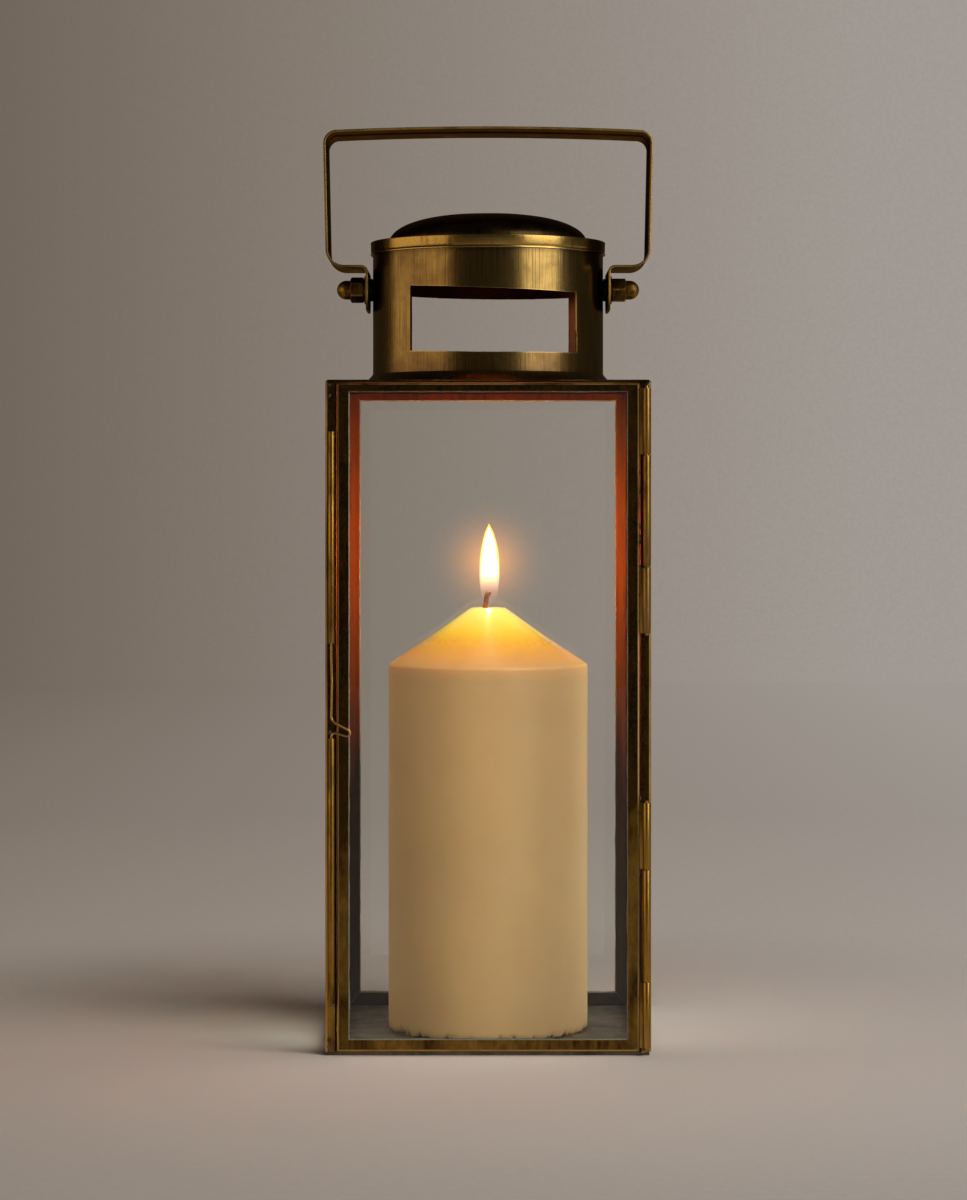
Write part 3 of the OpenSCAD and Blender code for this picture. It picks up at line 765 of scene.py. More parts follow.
COLLAR_R = 40.7 * MM
COLLAR_T = 0.8 * MM
WINDOW_HALF = math.radians(90.4) / 2
WINDOW_Z = (238.1 * MM, 260.9 * MM)
WINDOWS = (math.radians(-90 + 3.7), math.radians(90 - 1.7))


def turn_from(centre, a):
    """The turn from one angle to another, between half a turn back and half a turn on."""
    return (a - centre + math.pi) % TAU - math.pi


def window_edges(a):
    """(lower edge, upper edge, whether it is in a window) at an angle round the collar. The
    front window is cut less evenly than the rear one."""
    under, over = WINDOW_Z
    for k, centre in enumerate(WINDOWS):
        turn = turn_from(centre, a)
        if abs(turn) <= WINDOW_HALF + 1e-6:
            share = turn / WINDOW_HALF
            rag = 0.10 * noise.noise(Vector((a * 22, k * 5.0, 1.0)))
            low_rag = 0.08 * noise.noise(Vector((a * 19, k * 7.0, 4.0)))
            tilt, low_tilt = 0.3 * share, 0.0
            if k == 0:
                tilt = -0.9 - 1.1 * share + 0.3 * share ** 2
                low_tilt = 0.75 * max(0.0, -share - 0.2) / 0.8 + 0.25 * max(0.0, share)
            return under + (low_rag + low_tilt) * MM, over + (tilt + rag) * MM, True
    return under, over, False


def collar_angles(fine):
    """Even angles round the collar, with closer ones, fine apart, beside the windows' jambs."""
    jambs = [centre + side * WINDOW_HALF for centre in WINDOWS for side in (-1, 1)]
    angles = {jamb + k * fine for jamb in jambs for k in (-3, -1, 0, 1, 3)}
    angles |= {turn - math.pi for turn in turns(168)}
    angles = sorted({round(turn_from(0.0, a), 7) for a in angles})
    kept = [angles[0]]
    for a in angles[1:]:
        at_jamb = any(abs(turn_from(jamb, a)) < 1e-5 for jamb in jambs)
        if a - kept[-1] > fine * 0.6 or at_jamb:
            if at_jamb and a - kept[-1] < fine * 0.6:
                kept.pop()
            kept.append(a)
    return kept


def make_collar(material):
    """The collar, one sheet bent round, with both windows cut out of it."""
    kept = collar_angles(0.35 * MM / COLLAR_R)
    z0, z1 = heights("chimney_collar")
    base_rows, gap_rows, top_rows = 8, 10, 10
    count = base_rows + gap_rows + top_rows + 1

    def row_z(a, row):
        under, over, _ = window_edges(a)
        if row <= base_rows:
            return z0 + (under - z0) * ((row / base_rows) ** 0.6)
        if row <= base_rows + gap_rows:
            return under + (over - under) * (row - base_rows) / gap_rows
        return over + (z1 - over) * (((row - base_rows - gap_rows) / top_rows) ** 1.6)

    points, wear_and_painted_candlelight = [], []
    for a in kept:
        jamb = min(abs(abs(turn_from(centre, a)) - WINDOW_HALF) for centre in WINDOWS)
        for row in range(count):
            z = row_z(a, row)
            turned = a
            if jamb < 1e-5 and base_rows < row < base_rows + gap_rows:
                turned += 0.10 * MM / COLLAR_R * noise.noise(Vector((a * 3, z * 900, 2.0)))
                if abs(a - (WINDOWS[0] + WINDOW_HALF)) < 1e-4 and z < 245 * MM:
                    turned += 0.45 * MM / COLLAR_R
            points.append((turned, z))
            edge = window_edges(a)[2] and row in (base_rows, base_rows + gap_rows)
            edge = edge or (jamb < 1e-5 and base_rows <= row <= base_rows + gap_rows)
            wear_and_painted_candlelight.append(0.95 if edge else 0.0)
    cells = []
    for i, a in enumerate(kept):
        b = kept[(i + 1) % len(kept)]
        middle = a + ((b - a) % TAU) / 2
        cut = window_edges(middle)[2]
        for row in range(count - 1):
            if cut and base_rows <= row < base_rows + gap_rows:
                continue
            p, q = i * count + row, ((i + 1) % len(kept)) * count + row
            cells.append((p, q, q + 1, p + 1))

    def at(point, r):
        a, z = point
        return polar(r + 0.05 * MM * noise.noise(polar(1, a, z * 30) * 1.6), a, z)

    total = len(points)
    verts = [at(p, COLLAR_R - 0.05 * MM) for p in points]
    verts += [at(p, COLLAR_R - COLLAR_T) for p in points]
    faces = list(cells) + [tuple(v + total for v in reversed(c)) for c in cells]
    edges = {}      # every cell's edges, in the order they come
    for c in cells:
        edges.update(dict.fromkeys(zip(c, c[1:] + c[:1])))
    for a, b in edges:
        if (b, a) not in edges:
            faces.append((b, a, a + total, b + total))
    # the inner face's points get -1: soot with painted candlelight
    piece("collar_sheet", (verts, faces), material, "body", ["chimney_collar"],
          wear_and_painted_candlelight + [-1.0] * total)


def ring_piece(name, profile, steps, material, node, wear_and_painted_candlelight, wave, angle=35):
    """A turned ring from (radius, z) points, out of round by up to wave."""
    rings = []
    for a in turns(steps):
        swell = wave * noise.noise(polar(1.3, a, 0.5))
        lift = wave * 0.6 * noise.noise(polar(2, a, 3.5))
        rings.append([polar(r + swell, a, z + lift) for r, z in profile])
    piece(name, loft(rings, capped=False, looped=True), material, "body", [node], wear_and_painted_candlelight * steps,
          angle)


def make_foot(material):
    """The flared foot, a cone that spreads onto the top plate."""
    z0 = low("chimney_foot_ring").z
    flare = [((40.80 + 3.15 * (1 - f) ** 1.2) * MM, z0 + (0.40 + 3.3 * f) * MM)
             for f in (i / 10 for i in range(11))]
    profile = [(40.72 * MM, z0), (43.9 * MM, z0), (44.05 * MM, z0 + 0.18 * MM)] + flare
    wear_and_painted_candlelight = [0.1, 0.5, 0.9, 0.6] + [0.1] * (len(flare) - 1)
    ring_piece("foot_flare", profile, 144, material, "chimney_foot_ring", wear_and_painted_candlelight, 0.05 * MM)


def make_rim(material):
    """The lid's band, rounded over at the top and rolled at its lower edge."""
    bottom, top = heights("lid_rim")
    out = high("lid_rim").x - 0.02 * MM
    soft, bore = 0.35 * MM, 33.6 * MM
    upper = [(out - soft + x, top - soft + y) for x, y in arc(0, 0, soft, 0, 90, 5)]
    wall = [(out - 0.12 * MM, top - 1.2 * MM), (out - 0.12 * MM, bottom + 1.6 * MM)]
    lip = [(out - 0.28 * MM, bottom + 0.9 * MM), (out - 0.05 * MM, bottom + 0.45 * MM),
           (out, bottom + 0.22 * MM), (out - 0.06 * MM, bottom + 0.04 * MM),
           (out - 0.2 * MM, bottom)]
    inner = [(out - 0.72 * MM, bottom), (out - 0.72 * MM, top - 0.8 * MM),
             (bore, top - 0.8 * MM), (bore, top)]
    profile = [(40 * MM, top)] + upper[::-1] + wall + lip + inner
    wear_and_painted_candlelight = [0.0, 0.5, 0.9, 1.0, 1.0, 0.8, 0.4, 0.05, 0.05, 0.2, 0.8, 1.0, 0.8, 0.3] + [0] * 4
    ring_piece("rim_band", profile, 168, material, "lid_rim", wear_and_painted_candlelight, 0.06 * MM)


def make_dome(material):
    """The spun dome: flatter in the middle than a ball, and turned down at its edge."""
    base, tip = heights("lid_dome")
    r, h, sheet, steps = 35 * MM - 0.05 * MM, (tip - base) * 0.955, 0.75 * MM, 40
    angles = [math.radians(90 * i / steps) for i in range(steps + 1)]
    outer = [(max(AXIS, r * math.sin(a) ** 0.77), base + h * math.cos(a)) for a in angles]
    inner = [(max(AXIS, p - sheet * min(1, p / (10 * MM))), max(base, z - sheet))
             for p, z in outer[::-1]]
    ring_piece("dome_cap", outer + inner, 120, material, "lid_dome", [0.0] * 2 * len(outer),
               0.08 * MM, 60)


# ---------------------------------------------------------------- pivots and handle

def make_acorn_nut(node, side, turn, material):
    """A hexagonal acorn nut along X, its corners chamfered to a round."""
    near = low(node).x if side > 0 else -high(node).x
    far = high(node).x if side > 0 else -low(node).x
    flat, steps = 4.0 * MM, 72
    hex_end = near + 4.9 * MM
    dome_r = 3.35 * MM
    rings, wear_and_painted_candlelight = [], []

    def hexagon(a):
        turn_in = (math.degrees(a) - turn) % 60 - 30
        return min(flat / math.cos(math.radians(turn_in)), 4.52 * MM)

    def add(x, radius, worn):
        ring = []
        for a in turns(steps):
            r = radius(a)
            ring.append(Vector((side * x, r * math.sin(a), PIVOT.z + r * math.cos(a))))
            wear_and_painted_candlelight.append(worn + (0.6 if r > 4.45 * MM else 0.0))
        rings.append(ring)

    chamfer = [f * MM for f in (0.0, 0.06, 0.14, 0.25, 0.45, 0.7)]
    for depth in chamfer:
        add(near + depth, lambda a, d=depth: min(hexagon(a), flat - 0.1 * MM + d * 1.5), 0.3)
    for depth in chamfer[::-1]:
        add(hex_end - depth, lambda a, d=depth: min(hexagon(a), flat - 0.15 * MM + d * 1.6), 0.35)
    add(hex_end + 0.01 * MM, lambda a: dome_r + 0.15 * MM, 0.0)
    add(hex_end + 0.12 * MM, lambda a: dome_r, 0.2)
    for i in range(13):
        rise = math.radians(90 * i / 12)
        add(far - dome_r + dome_r * math.sin(rise),
            lambda _, r=rise: max(dome_r * math.cos(r), 2e-6), 0.15 + 0.5 * math.sin(rise))
    piece(node + "_turned", loft(rings), material, "body", [node], wear_and_painted_candlelight, 28)


def strap_line():
    """Middle line of the handle's strap as (x, height over the pivot, distance from the ear)."""
    ear, foot, leg_low, leg_high = 42.35, 7.45, 56.35, 57.15
    crown, bow, corner_r = 55.85, 1.2, 4.2
    corner_x, corner_z = leg_high - corner_r, crown - bow - corner_r
    half = [(ear, z) for z in (-7.7, -7.2, -6.4, -5.4, -4.2, -2.7, -1, 1, 3, 4.6)]
    half += [(ear + 2 - 2 * math.cos(math.radians(a)), foot - 2 + 2 * math.sin(math.radians(a)))
             for a in range(0, 91, 10)]
    half += arc(leg_low - 6, foot + 6, 6, -90, 0, 16)
    steps = 16
    half += [(leg_low + (leg_high - leg_low) * i / steps,
              foot + 6 + (corner_z - foot - 6) * i / steps) for i in range(1, steps)]
    half += arc(corner_x, corner_z, corner_r, 0, 90, 14)
    steps = 14
    half += [(corner_x * (1 - i / steps), crown - bow * (1 - i / steps) ** 2)
             for i in range(1, steps + 1)]
    line = half + [(-x, z) for x, z in half[-2::-1]]
    return [(x * MM, z * MM) for x, z in line]


def make_handle(material):
    line = strap_line()
    width, thick = 30 * MM, 0.9 * MM
    rib_y, rib_half, rib_deep = -1.0 * MM, 4.2 * MM, 0.42 * MM
    edge = 0.32 * MM

    def rib(y):
        t = (rib_half - abs(y - rib_y)) / (1.1 * MM)
        t = max(0.0, min(1.0, t))
        return t * t * (3 - 2 * t)

    spots = [-1, -0.965, -0.90, -0.8, -0.65, -0.5]
    spots += [(rib_y + f * rib_half) / (width / 2)
              for f in (-1.0, -0.93, -0.86, -0.80, -0.74, -0.4, 0, 0.4, 0.74, 0.80, 0.86, 0.93, 1)]
    spots += [0.4, 0.55, 0.7, 0.85, 0.93, 0.968, 1]
    spots = sorted(set(spots))
    rings, wear_and_painted_candlelight = [], []
    count = len(line)
    for i, (x, z) in enumerate(line):
        a, b = line[max(i - 1, 0)], line[min(i + 1, count - 1)]
        along = Vector((b[0] - a[0], 0, b[1] - a[1])).normalized()
        outward = Vector((along.z, 0, -along.x))
        half = width / 2
        from_end = min(i, count - 1 - i)
        if abs(x) < 42.5 * MM and z < 0:
            rise = z + 7.7 * MM
            if rise < 5 * MM:
                half = 10 * MM + math.sqrt(max(0.0, (5 * MM) ** 2 - (5 * MM - rise) ** 2))
                half = max(half, 10.6 * MM)
        on_leg = max(0.0, min(1.0, (z - 11 * MM) / (5 * MM)))
        wave = 0.10 * MM * noise.noise(Vector((x * 25, 0.3, z * 25))) if from_end > 12 else 0.0
        ring = []

        def put(share, side, deep, worn):
            y = share * half
            d = side * (thick / 2 - deep) - rib(y) * rib_deep * on_leg
            ring.append(Vector((x, y + wave, PIVOT.z + z)) + outward * d)
            wear_and_painted_candlelight.append(worn)

        corner = edge / half
        for side in (1, -1):
            put(-side, side, edge, 1.0)
            put(side * (-1 + corner * 0.3), side, edge * 0.3, 1.0)
            for share in spots[1:-1][::side]:
                put(share, side, 0, 0.75 if abs(share) > 0.95 else 0.05)
            put(side * (1 - corner * 0.3), side, edge * 0.3, 1.0)
            put(side, side, edge, 1.0)
        rings.append(ring)
    piece("handle_band", loft(rings), material, "handle", ["handle_strap"], wear_and_painted_candlelight, 32)


# ---------------------------------------------------------------- hinges and catch

def soft_block(a, b, r):
    """Vertices and faces of a block with rounded edges, from corner a to corner b."""
    bm = bmesh.new()
    bmesh.ops.create_cube(bm, size=1)
    size, middle = b - a, (a + b) / 2
    for v in bm.verts:
        v.co = Vector((v.co.x * size.x, v.co.y * size.y, v.co.z * size.z)) + middle
    bmesh.ops.bevel(bm, geom=list(bm.edges), offset=r, segments=2, profile=0.5, affect="EDGES")
    bm.verts.index_update()
    verts = [v.co.copy() for v in bm.verts]
    faces = [tuple(v.index for v in f.verts) for f in bm.faces]
    bm.free()
    return verts, faces


def joined(*parts):
    verts, faces = [], []
    for v, f in parts:
        faces += [tuple(i + len(verts) for i in face) for face in f]
        verts += v
    return verts, faces


def tube_shape(x, y, r, bore, z0, z1, seam, steps=28):
    """An upright rolled tube with soft ends and a fine seam along it."""
    soft = 0.16 * MM
    profile = [(bore, z0 + soft), (bore + 0.08 * MM, z0), (r - soft, z0),
               (r - soft * 0.3, z0 + soft * 0.3), (r, z0 + soft), (r, z1 - soft),
               (r - soft * 0.3, z1 - soft * 0.3), (r - soft, z1), (bore + 0.08 * MM, z1),
               (bore, z1 - soft)]
    rings = []
    for i, a in enumerate(turns(steps)):
        inset = 0.12 * MM if i == 0 else 0.0
        radii = [q - inset if q > bore + 0.2 * MM else q for q, _ in profile]
        rings.append([polar(q, a + math.radians(seam), z) + Vector((x, y, 0))
                      for q, (_, z) in zip(radii, profile)])
    return loft(rings, capped=False, looped=True)


def rolled(node, parts, material, body, bare, spread, grain):
    """A piece of rolled brass strip. bare is how rubbed it is, more or less by spread."""
    shape = joined(*parts)
    wear_and_painted_candlelight = [bare + spread * noise.noise(v * grain) for v in shape[0]]
    piece(node + "_rolled", shape, material, body, [node], wear_and_painted_candlelight)


def hinge_pin(node, bent, material):
    """A pin through the knuckles. The lower one's end is bent over."""
    z0, z1 = heights(node)
    levels = (z1 - 0.05 * MM, z1 - 0.4 * MM, z0 + 0.3 * MM)
    corners = [Vector((HINGE.x, HINGE.y, z)) for z in levels]
    if bent:
        end = Vector((HINGE.x - 1.7 * MM, HINGE.y, z0 - 0.75 * MM))
        path = smooth_path(corners + [end], 0.5 * MM)
    else:
        path = corners + [Vector((HINGE.x, HINGE.y, z0))]
    radii = [0.4 * MM] + [0.6 * MM] * (len(path) - 2) + [0.4 * MM]
    shape = sweep(path, radii, 14)
    piece(node + "_rod", shape, material, "body", [node], [0.9] * len(shape[0]))


def make_hinges(materials):
    r, bore, soft = 1.24 * MM, 0.65 * MM, 0.12 * MM
    door_edge, post_face = high("door_bottom_rail").x, low("post_front_right").y
    for hinge in ("upper", "lower"):
        for knuckle, body in ((f"door_knuckle_{hinge}_top", "door"),
                              (f"door_knuckle_{hinge}_bottom", "door"),
                              (f"post_knuckle_{hinge}", "body")):
            z0, z1 = heights(knuckle)
            if body == "door":
                seam = 115
                leaf = soft_block(Vector((door_edge, HINGE.y + 0.65 * MM, z0)),
                                  Vector((HINGE.x - 0.3 * MM, HINGE.y + 1.2 * MM, z1)), soft)
            else:
                seam = 60
                leaf = soft_block(Vector((HINGE.x - 0.4 * MM, HINGE.y + 0.3 * MM, z0)),
                                  Vector((HINGE.x + 0.4 * MM, post_face, z1)), soft)
            tube = tube_shape(HINGE.x, HINGE.y, r, bore, z0, z1, seam=seam)
            rolled(knuckle, (tube, leaf), materials["hinge"], body, 0.55, 0.35, 260)
        hinge_pin(f"hinge_pin_{hinge}", hinge == "lower", materials["bright"])


def make_catch(materials):
    """The bent wire and the two sleeves it turns in."""
    for end in ("upper", "lower"):
        node = f"catch_sleeve_{end}"
        tube = tube_shape(CATCH.x, CATCH.y, 1.08 * MM, 0.5 * MM, *heights(node), seam=140)
        rolled(node, (tube,), materials["hinge"], "body", 0.45, 0.4, 220)
    z = 108 * MM
    proud = 0.45 * MM
    bottom, top = heights("catch_wire")
    spots = [(0, 0, top), (0, 0, top - 20 * MM), (0, 0, z + 26 * MM), (0.25, 0, z + 18 * MM),
             (0.1, 0, z + 9 * MM), (0, 0, z + 5.6 * MM), (0.9, proud, z + 4.4 * MM),
             (5.3, proud, z + 2 * MM), (6.1, proud, z + 1.5 * MM), (6.3, proud, z + 0.7 * MM),
             (6.0, proud, z), (5.3, proud, z - 0.3 * MM), (1.3, proud, z + 0.9 * MM),
             (0.4, proud / 2, z + 0.6 * MM), (0, 0, z - 0.4 * MM), (0, 0, z - 12 * MM),
             (0, 0, bottom)]
    corners = [Vector((CATCH.x + x * MM, CATCH.y - y, height)) for x, y, height in spots]
    path = smooth_path(corners, 0.7 * MM, 5)
    shape = sweep(path, 0.4 * MM, 12)
    wear_and_painted_candlelight = [0.8 + 0.3 * noise.noise(v * 500) for v in shape[0]]
    piece("catch_bent_wire", shape, materials["bright"], "catch", ["catch_wire"], wear_and_painted_candlelight, 50)


# ---------------------------------------------------------------- solder and putty

def blob(centre, half_size, seed):
    """A small lump of solder: a flattened ball with an uneven skin."""
    rows, cols = 7, 10
    rings = []
    for i in range(rows + 1):
        tilt = math.pi * (0.02 + 0.96 * i / rows)
        ring = []
        for a in turns(cols):
            n = polar(math.sin(tilt), a, math.cos(tilt))
            swell = 1 + 0.35 * noise.noise(n * 1.7 + Vector((seed, seed * 2.3, 0)))
            ring.append(centre + Vector(q * h for q, h in zip(n, half_size)) * swell)
        rings.append(ring)
    return loft(rings)


def make_solder(material):
    """Solder where the frames meet: lumps at the corners, and runs along the hinge side."""
    rng = random.Random(5)
    x_post, y_face = high("post_front_right").x, low("post_front_right").y
    x_door, y_door = high("door_bottom_rail").x, low("door_left_stile").y
    z_low, z_high = heights("door_left_stile")
    door, body = [], []
    for side in (-1, 1):
        for z, up in ((z_low, 1), (z_high, -1)):
            for k in range(3):
                step = (0.7 + 1.1 * k + 0.4 * rng.random()) * MM
                spot = Vector((side * (x_door - step), y_door + 0.10 * MM, z + up * step))
                size = (0.4 + 0.25 * rng.random()) * MM
                door.append(blob(spot, (size, 0.10 * MM, size * 0.8), rng.random() * 9))
        for z in (2.4 * MM, 5 * MM, 222 * MM, 225.5 * MM):
            spot = Vector((side * (x_post - 1.4 * MM), y_face + 0.05 * MM, z + rng.random() * MM))
            size = (0.5 + 0.4 * rng.random()) * MM
            body.append(blob(spot, (size, 0.14 * MM, size * 1.3), rng.random() * 9))
    for z_mid, spread, amount in ((183 * MM, 14 * MM, 9), (156 * MM, 10 * MM, 6),
                                  (79 * MM, 8 * MM, 6), (17 * MM, 8 * MM, 7)):
        for _ in range(amount):
            z = z_mid + (rng.random() - 0.5) * 2 * spread
            spot = Vector((x_door - 0.15 * MM + 0.35 * MM * rng.random(), y_door + 0.12 * MM, z))
            size = (0.22 + 0.28 * rng.random()) * MM
            door.append(blob(spot, (size, 0.14 * MM, size * (1.2 + 1.8 * rng.random())),
                             rng.random() * 9))
    for z_mid in (108 * MM, 138 * MM, 209 * MM, 19 * MM):
        for _ in range(3):
            spot = Vector((CATCH.x - 0.9 * MM + 1.9 * MM * rng.random(), y_face - 0.05 * MM,
                           z_mid + (rng.random() - 0.5) * 5 * MM))
            size = (0.3 + 0.3 * rng.random()) * MM
            body.append(blob(spot, (size, 0.16 * MM, size * 1.6), rng.random() * 9))
    for a in (-97, -84, 60, 171):
        spot = polar(41.0 * MM, math.radians(a), low("lid_rim").z + 0.1 * MM)
        body.append(blob(spot, (0.9 * MM, 0.35 * MM, 0.3 * MM), a))
    for parts, name, rides in ((door, "door_solder", "door"), (body, "body_solder", "body")):
        shape = joined(*parts)
        piece(name, shape, material, rides, wear_and_painted_candlelight=[0.3] * len(shape[0]), angle=60)


def putty_ring(name, origin, right, normal, u0, u1, z0, z1, face, material, body):
    """A thin bead of glazing cement round an opening, on the glass. face is the glass face's
    depth behind the frame's outer face."""
    up = Vector((0, 0, 1))
    corners = [(u0, z0, 1, 1), (u1, z0, -1, 1), (u1, z1, -1, -1), (u0, z1, 1, -1)]
    rings = []
    sign = 1 if face > 1.4 * MM else -1
    for (ua, za, sa, ta), (ub, zb, sb, tb) in zip(corners, corners[1:] + corners[:1]):
        length = math.dist((ua, za), (ub, zb))
        steps = max(2, int(length / (2.5 * MM)))
        for i in range(steps):
            f = i / steps
            u, z = ua + (ub - ua) * f, za + (zb - za) * f
            if i == 0:
                inward = right * sa + up * ta
            else:
                inward = right * ((sa + sb) / 2) + up * ((ta + tb) / 2)
                inward = inward.normalized() if inward.length > 0 else inward
            p = origin + right * u + up * z
            wide = (0.30 + 0.22 * noise.noise(p * 170)) * MM
            tall = (0.26 + 0.1 * noise.noise(p * 240 + Vector((3, 0, 0)))) * MM
            back = inward * -0.25 * MM
            rings.append([p + back + normal * face, p + back + normal * (face + sign * tall),
                          p + inward * wide * 0.35 + normal * (face + sign * tall * 0.8),
                          p + inward * wide + normal * face])
    shape = loft(rings, capped=False, looped=True)
    piece(name, shape, material, body, angle=60)


def make_putty(material):
    """The beads on both faces of each pane."""
    for name, origin, right, normal, (u0, u1), (z0, z1), body in panel_plans():
        side, bottom, top, inner_face = (4.1, 4.8, 2.8, 2.45)
        if name == "door":
            side, bottom, top, inner_face = (3.9, 3.9, 2.8, 2.25)
        for end, face in (("out", 0.55), ("in", inner_face)):
            putty_ring(f"{name}_putty_{end}", origin, right, normal, u0 + side * MM,
                       u1 - side * MM, z0 + bottom * MM, z1 - top * MM, face * MM, material, body)


# ---------------------------------------------------------------- candle, wick and flame

def candle_profile(chip, rough):
    """The candle's outline, from its base to the middle of its top, as (radius, z). chip is how
    much is broken off the lower edge, and rough how uneven the base is."""
    r, z0, top = high("candle").x, low("candle").z, CANDLE_TOP
    shoulder, flat, edge = z0 + 128.8 * MM, 6.5 * MM, 1.3 * MM
    profile = [(AXIS, z0 + 1.5 * MM), (r - 3.6 * MM, z0 + 1.4 * MM),
               (r - 1.5 * MM - chip * 0.5, z0 + rough * 0.5 + chip * 0.9),
               (r - 0.55 * MM - chip * 0.4, z0 + 0.05 * MM + chip),
               (r - 0.16 * MM - chip * 0.15, z0 + 0.5 * MM + chip * 1.1),
               (r - 0.12 * MM, z0 + 2.4 * MM + chip * 0.8)]
    profile += [(r - 0.10 * MM, z0 + (shoulder - z0) * f) for f in
                (0.04, 0.1, 0.2, 0.3, 0.4, 0.5, 0.6, 0.7, 0.8, 0.9, 0.96, 0.98)]
    profile += [(r - 0.10 * MM - edge * (1 - math.cos(t)),
                 shoulder - edge * 0.9 + edge * math.sin(t))
                for t in (math.radians(d) for d in (0, 15, 30, 45, 58))]
    cone = r - 1.1 * MM
    profile += [(cone - (cone - flat) * f, shoulder + 0.25 * MM
                 + (top - shoulder - 0.6 * MM) * f - 0.30 * MM * math.sin(math.pi * f))
                for f in (0.06, 0.14, 0.26, 0.4, 0.55, 0.7, 0.82, 0.92, 0.98)]
    return profile + [(flat - 0.5 * MM, top - 0.12 * MM), (flat - 1.3 * MM, top - 0.02 * MM),
                      (4.2 * MM, top - 0.25 * MM), (3 * MM, top - 0.7 * MM),
                      (1.2 * MM, top - 0.9 * MM), (AXIS, top - 0.95 * MM)]


def make_candle(material):
    rings = []
    for a in turns(288):
        chip = 2.3 * max(0.0, noise.noise(polar(13, a, 2.0)))
        chip += 2.4 * abs(noise.noise(polar(21, a, 7.0)))
        rough = 0.06 * MM * noise.noise(polar(14, a, 4.0))
        lean = 0.10 * MM * noise.noise(polar(1.2, a, 9.0))
        ring = []
        for q, z in candle_profile(chip * MM, rough):
            skin = 0.07 * MM * noise.noise(polar(1.5, a, z * 35))
            ring.append(polar(q + (skin + lean) * min(1.0, q / (20 * MM)), a, z))
        rings.append(ring)
    piece("candle_wax", loft(rings, closed=False, capped=False, looped=True), material, "candle",
          ["candle"], angle=60)


def make_wick(material):
    """Three braided strands that lean and end in a burnt knot."""
    base, steps = low("candle_wick").z - 0.8 * MM, 22
    rings = []
    for i in range(steps + 1):
        t = i / steps
        p = Vector((-1 * MM + 1.15 * MM * (t ** 1.8), 0.15 * MM * math.sin(4 * t),
                    base + (WICK_TOP - base) * t))
        knot = 0.26 * math.exp(-((t - 0.86) / 0.11) ** 2)
        r = (0.90 - 0.08 * t + knot) * MM * (0.55 if i in (0, steps) else 1)
        ring = []
        for a in turns(24):
            lobe = 1 + 0.13 * math.cos(3 * (a - 5.0 * t)) + 0.08 * noise.noise(polar(2, a, t * 14))
            ring.append(p + polar(r * lobe, a))
        rings.append(ring)
    piece("braided_wick", loft(rings), material, "candle", ["candle_wick"], angle=60)


def flame_shape(name, outline, material):
    """A turned flame with a slight lean: a smooth curve through (radius, height) pairs, in
    millimetres."""
    z0, z1 = outline[0][1], outline[-1][1]
    smooth = []
    for k in range(len(outline) - 1):
        (ra, za), (rb, zb) = outline[k], outline[k + 1]
        before, after = outline[max(k - 1, 0)], outline[min(k + 2, len(outline) - 1)]
        m0, m1 = (rb - before[0]) / 2, (after[0] - ra) / 2
        for f in (0, 0.25, 0.5, 0.75):
            r = (2 * f ** 3 - 3 * f ** 2 + 1) * ra + (f ** 3 - 2 * f ** 2 + f) * m0
            r += (-2 * f ** 3 + 3 * f ** 2) * rb + (f ** 3 - f ** 2) * m1
            smooth.append((max(r, 0.02), za + (zb - za) * f))
    smooth.append(outline[-1])
    rings = []
    for r, z in smooth:
        share = (z - z0) / (z1 - z0)
        x = FLAME_X + 0.25 * MM * math.sin(2.6 * share) - 0.12 * MM * share
        rings.append([Vector((x + r * MM * math.cos(a), 0.96 * r * MM * math.sin(a), z * MM))
                      for a in turns(32)])
    obj = piece(name, loft(rings), material, "candle", angle=180)
    obj.visible_shadow = False


def make_flame(materials):
    flame_shape("flame_mantle", [(1.5, 151.7), (2.35, 152.5), (2.75, 154.0), (3.1, 156.2),
                                 (3.4, 159), (3.5, 162.5), (3.35, 166.3), (3.0, 169.8),
                                 (2.3, 173.2), (1.35, 176.4), (0.1, 179.1)],
                materials["mantle"])
    flame_shape("flame_core", [(1.2, 154.2), (2.0, 155.0), (2.45, 156.8), (2.65, 160),
                               (2.65, 164), (2.4, 168), (1.9, 171.5), (1.15, 174.8),
                               (0.1, 177.6)], materials["core"])


# ---------------------------------------------------------------- CAD nodes that stay

def keep_node(node, material, bevel):
    obj = frame["nodes"][node]
    obj.data.materials.clear()
    obj.data.materials.append(material)
    soft = obj.modifiers.new("soft_edges", "BEVEL")
    soft.width = bevel * MM
    soft.segments = 2
    soft.limit_method = "ANGLE"
    soft.angle_limit = math.radians(30)


def keep_nodes(materials):
    for side in ("left", "right"):
        keep_node(f"{side}_glass", materials["glass"], 0.15)
        keep_node(f"pivot_bolt_{side}", materials["dark"], 0.12)
        keep_node(f"inner_washer_{side}", materials["dark"], 0.1)
        keep_node(f"pivot_spacer_{side}", materials["dark"], 0.1)
        keep_node(f"outer_washer_{side}", materials["part"], 0.12)
    keep_node("rear_glass", materials["glass"], 0.15)
    keep_node("door_glass", materials["glass"], 0.15)
    keep_node("base_tray", materials["tray"], 0.2)


# ---------------------------------------------------------------- studio

FLOOR_TONE = (0.64, 0.585, 0.55)
WORLD_LIGHT = 0.035


def stage_piece(name, shape, material):
    obj = mesh_object(name, shape, material)
    obj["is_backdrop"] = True
    return obj


def studio_tone(t, place):
    """The soft light on the backdrop, brighter to the right."""
    across = t.ramp(t.fade(place["X"], -0.6, 0.6),
                    [(0.0, (0.155, 0.124, 0.096)), (0.16, (0.196, 0.160, 0.130)),
                     (0.5, (0.282, 0.243, 0.208)), (0.84, (0.366, 0.330, 0.300)),
                     (1.0, (0.38, 0.345, 0.318))])
    return t.mix(t.fade(t.noise(260, 3, 0.65), 0.3, 0.7, 0.0, 0.10), across, (0.10, 0.09, 0.08))


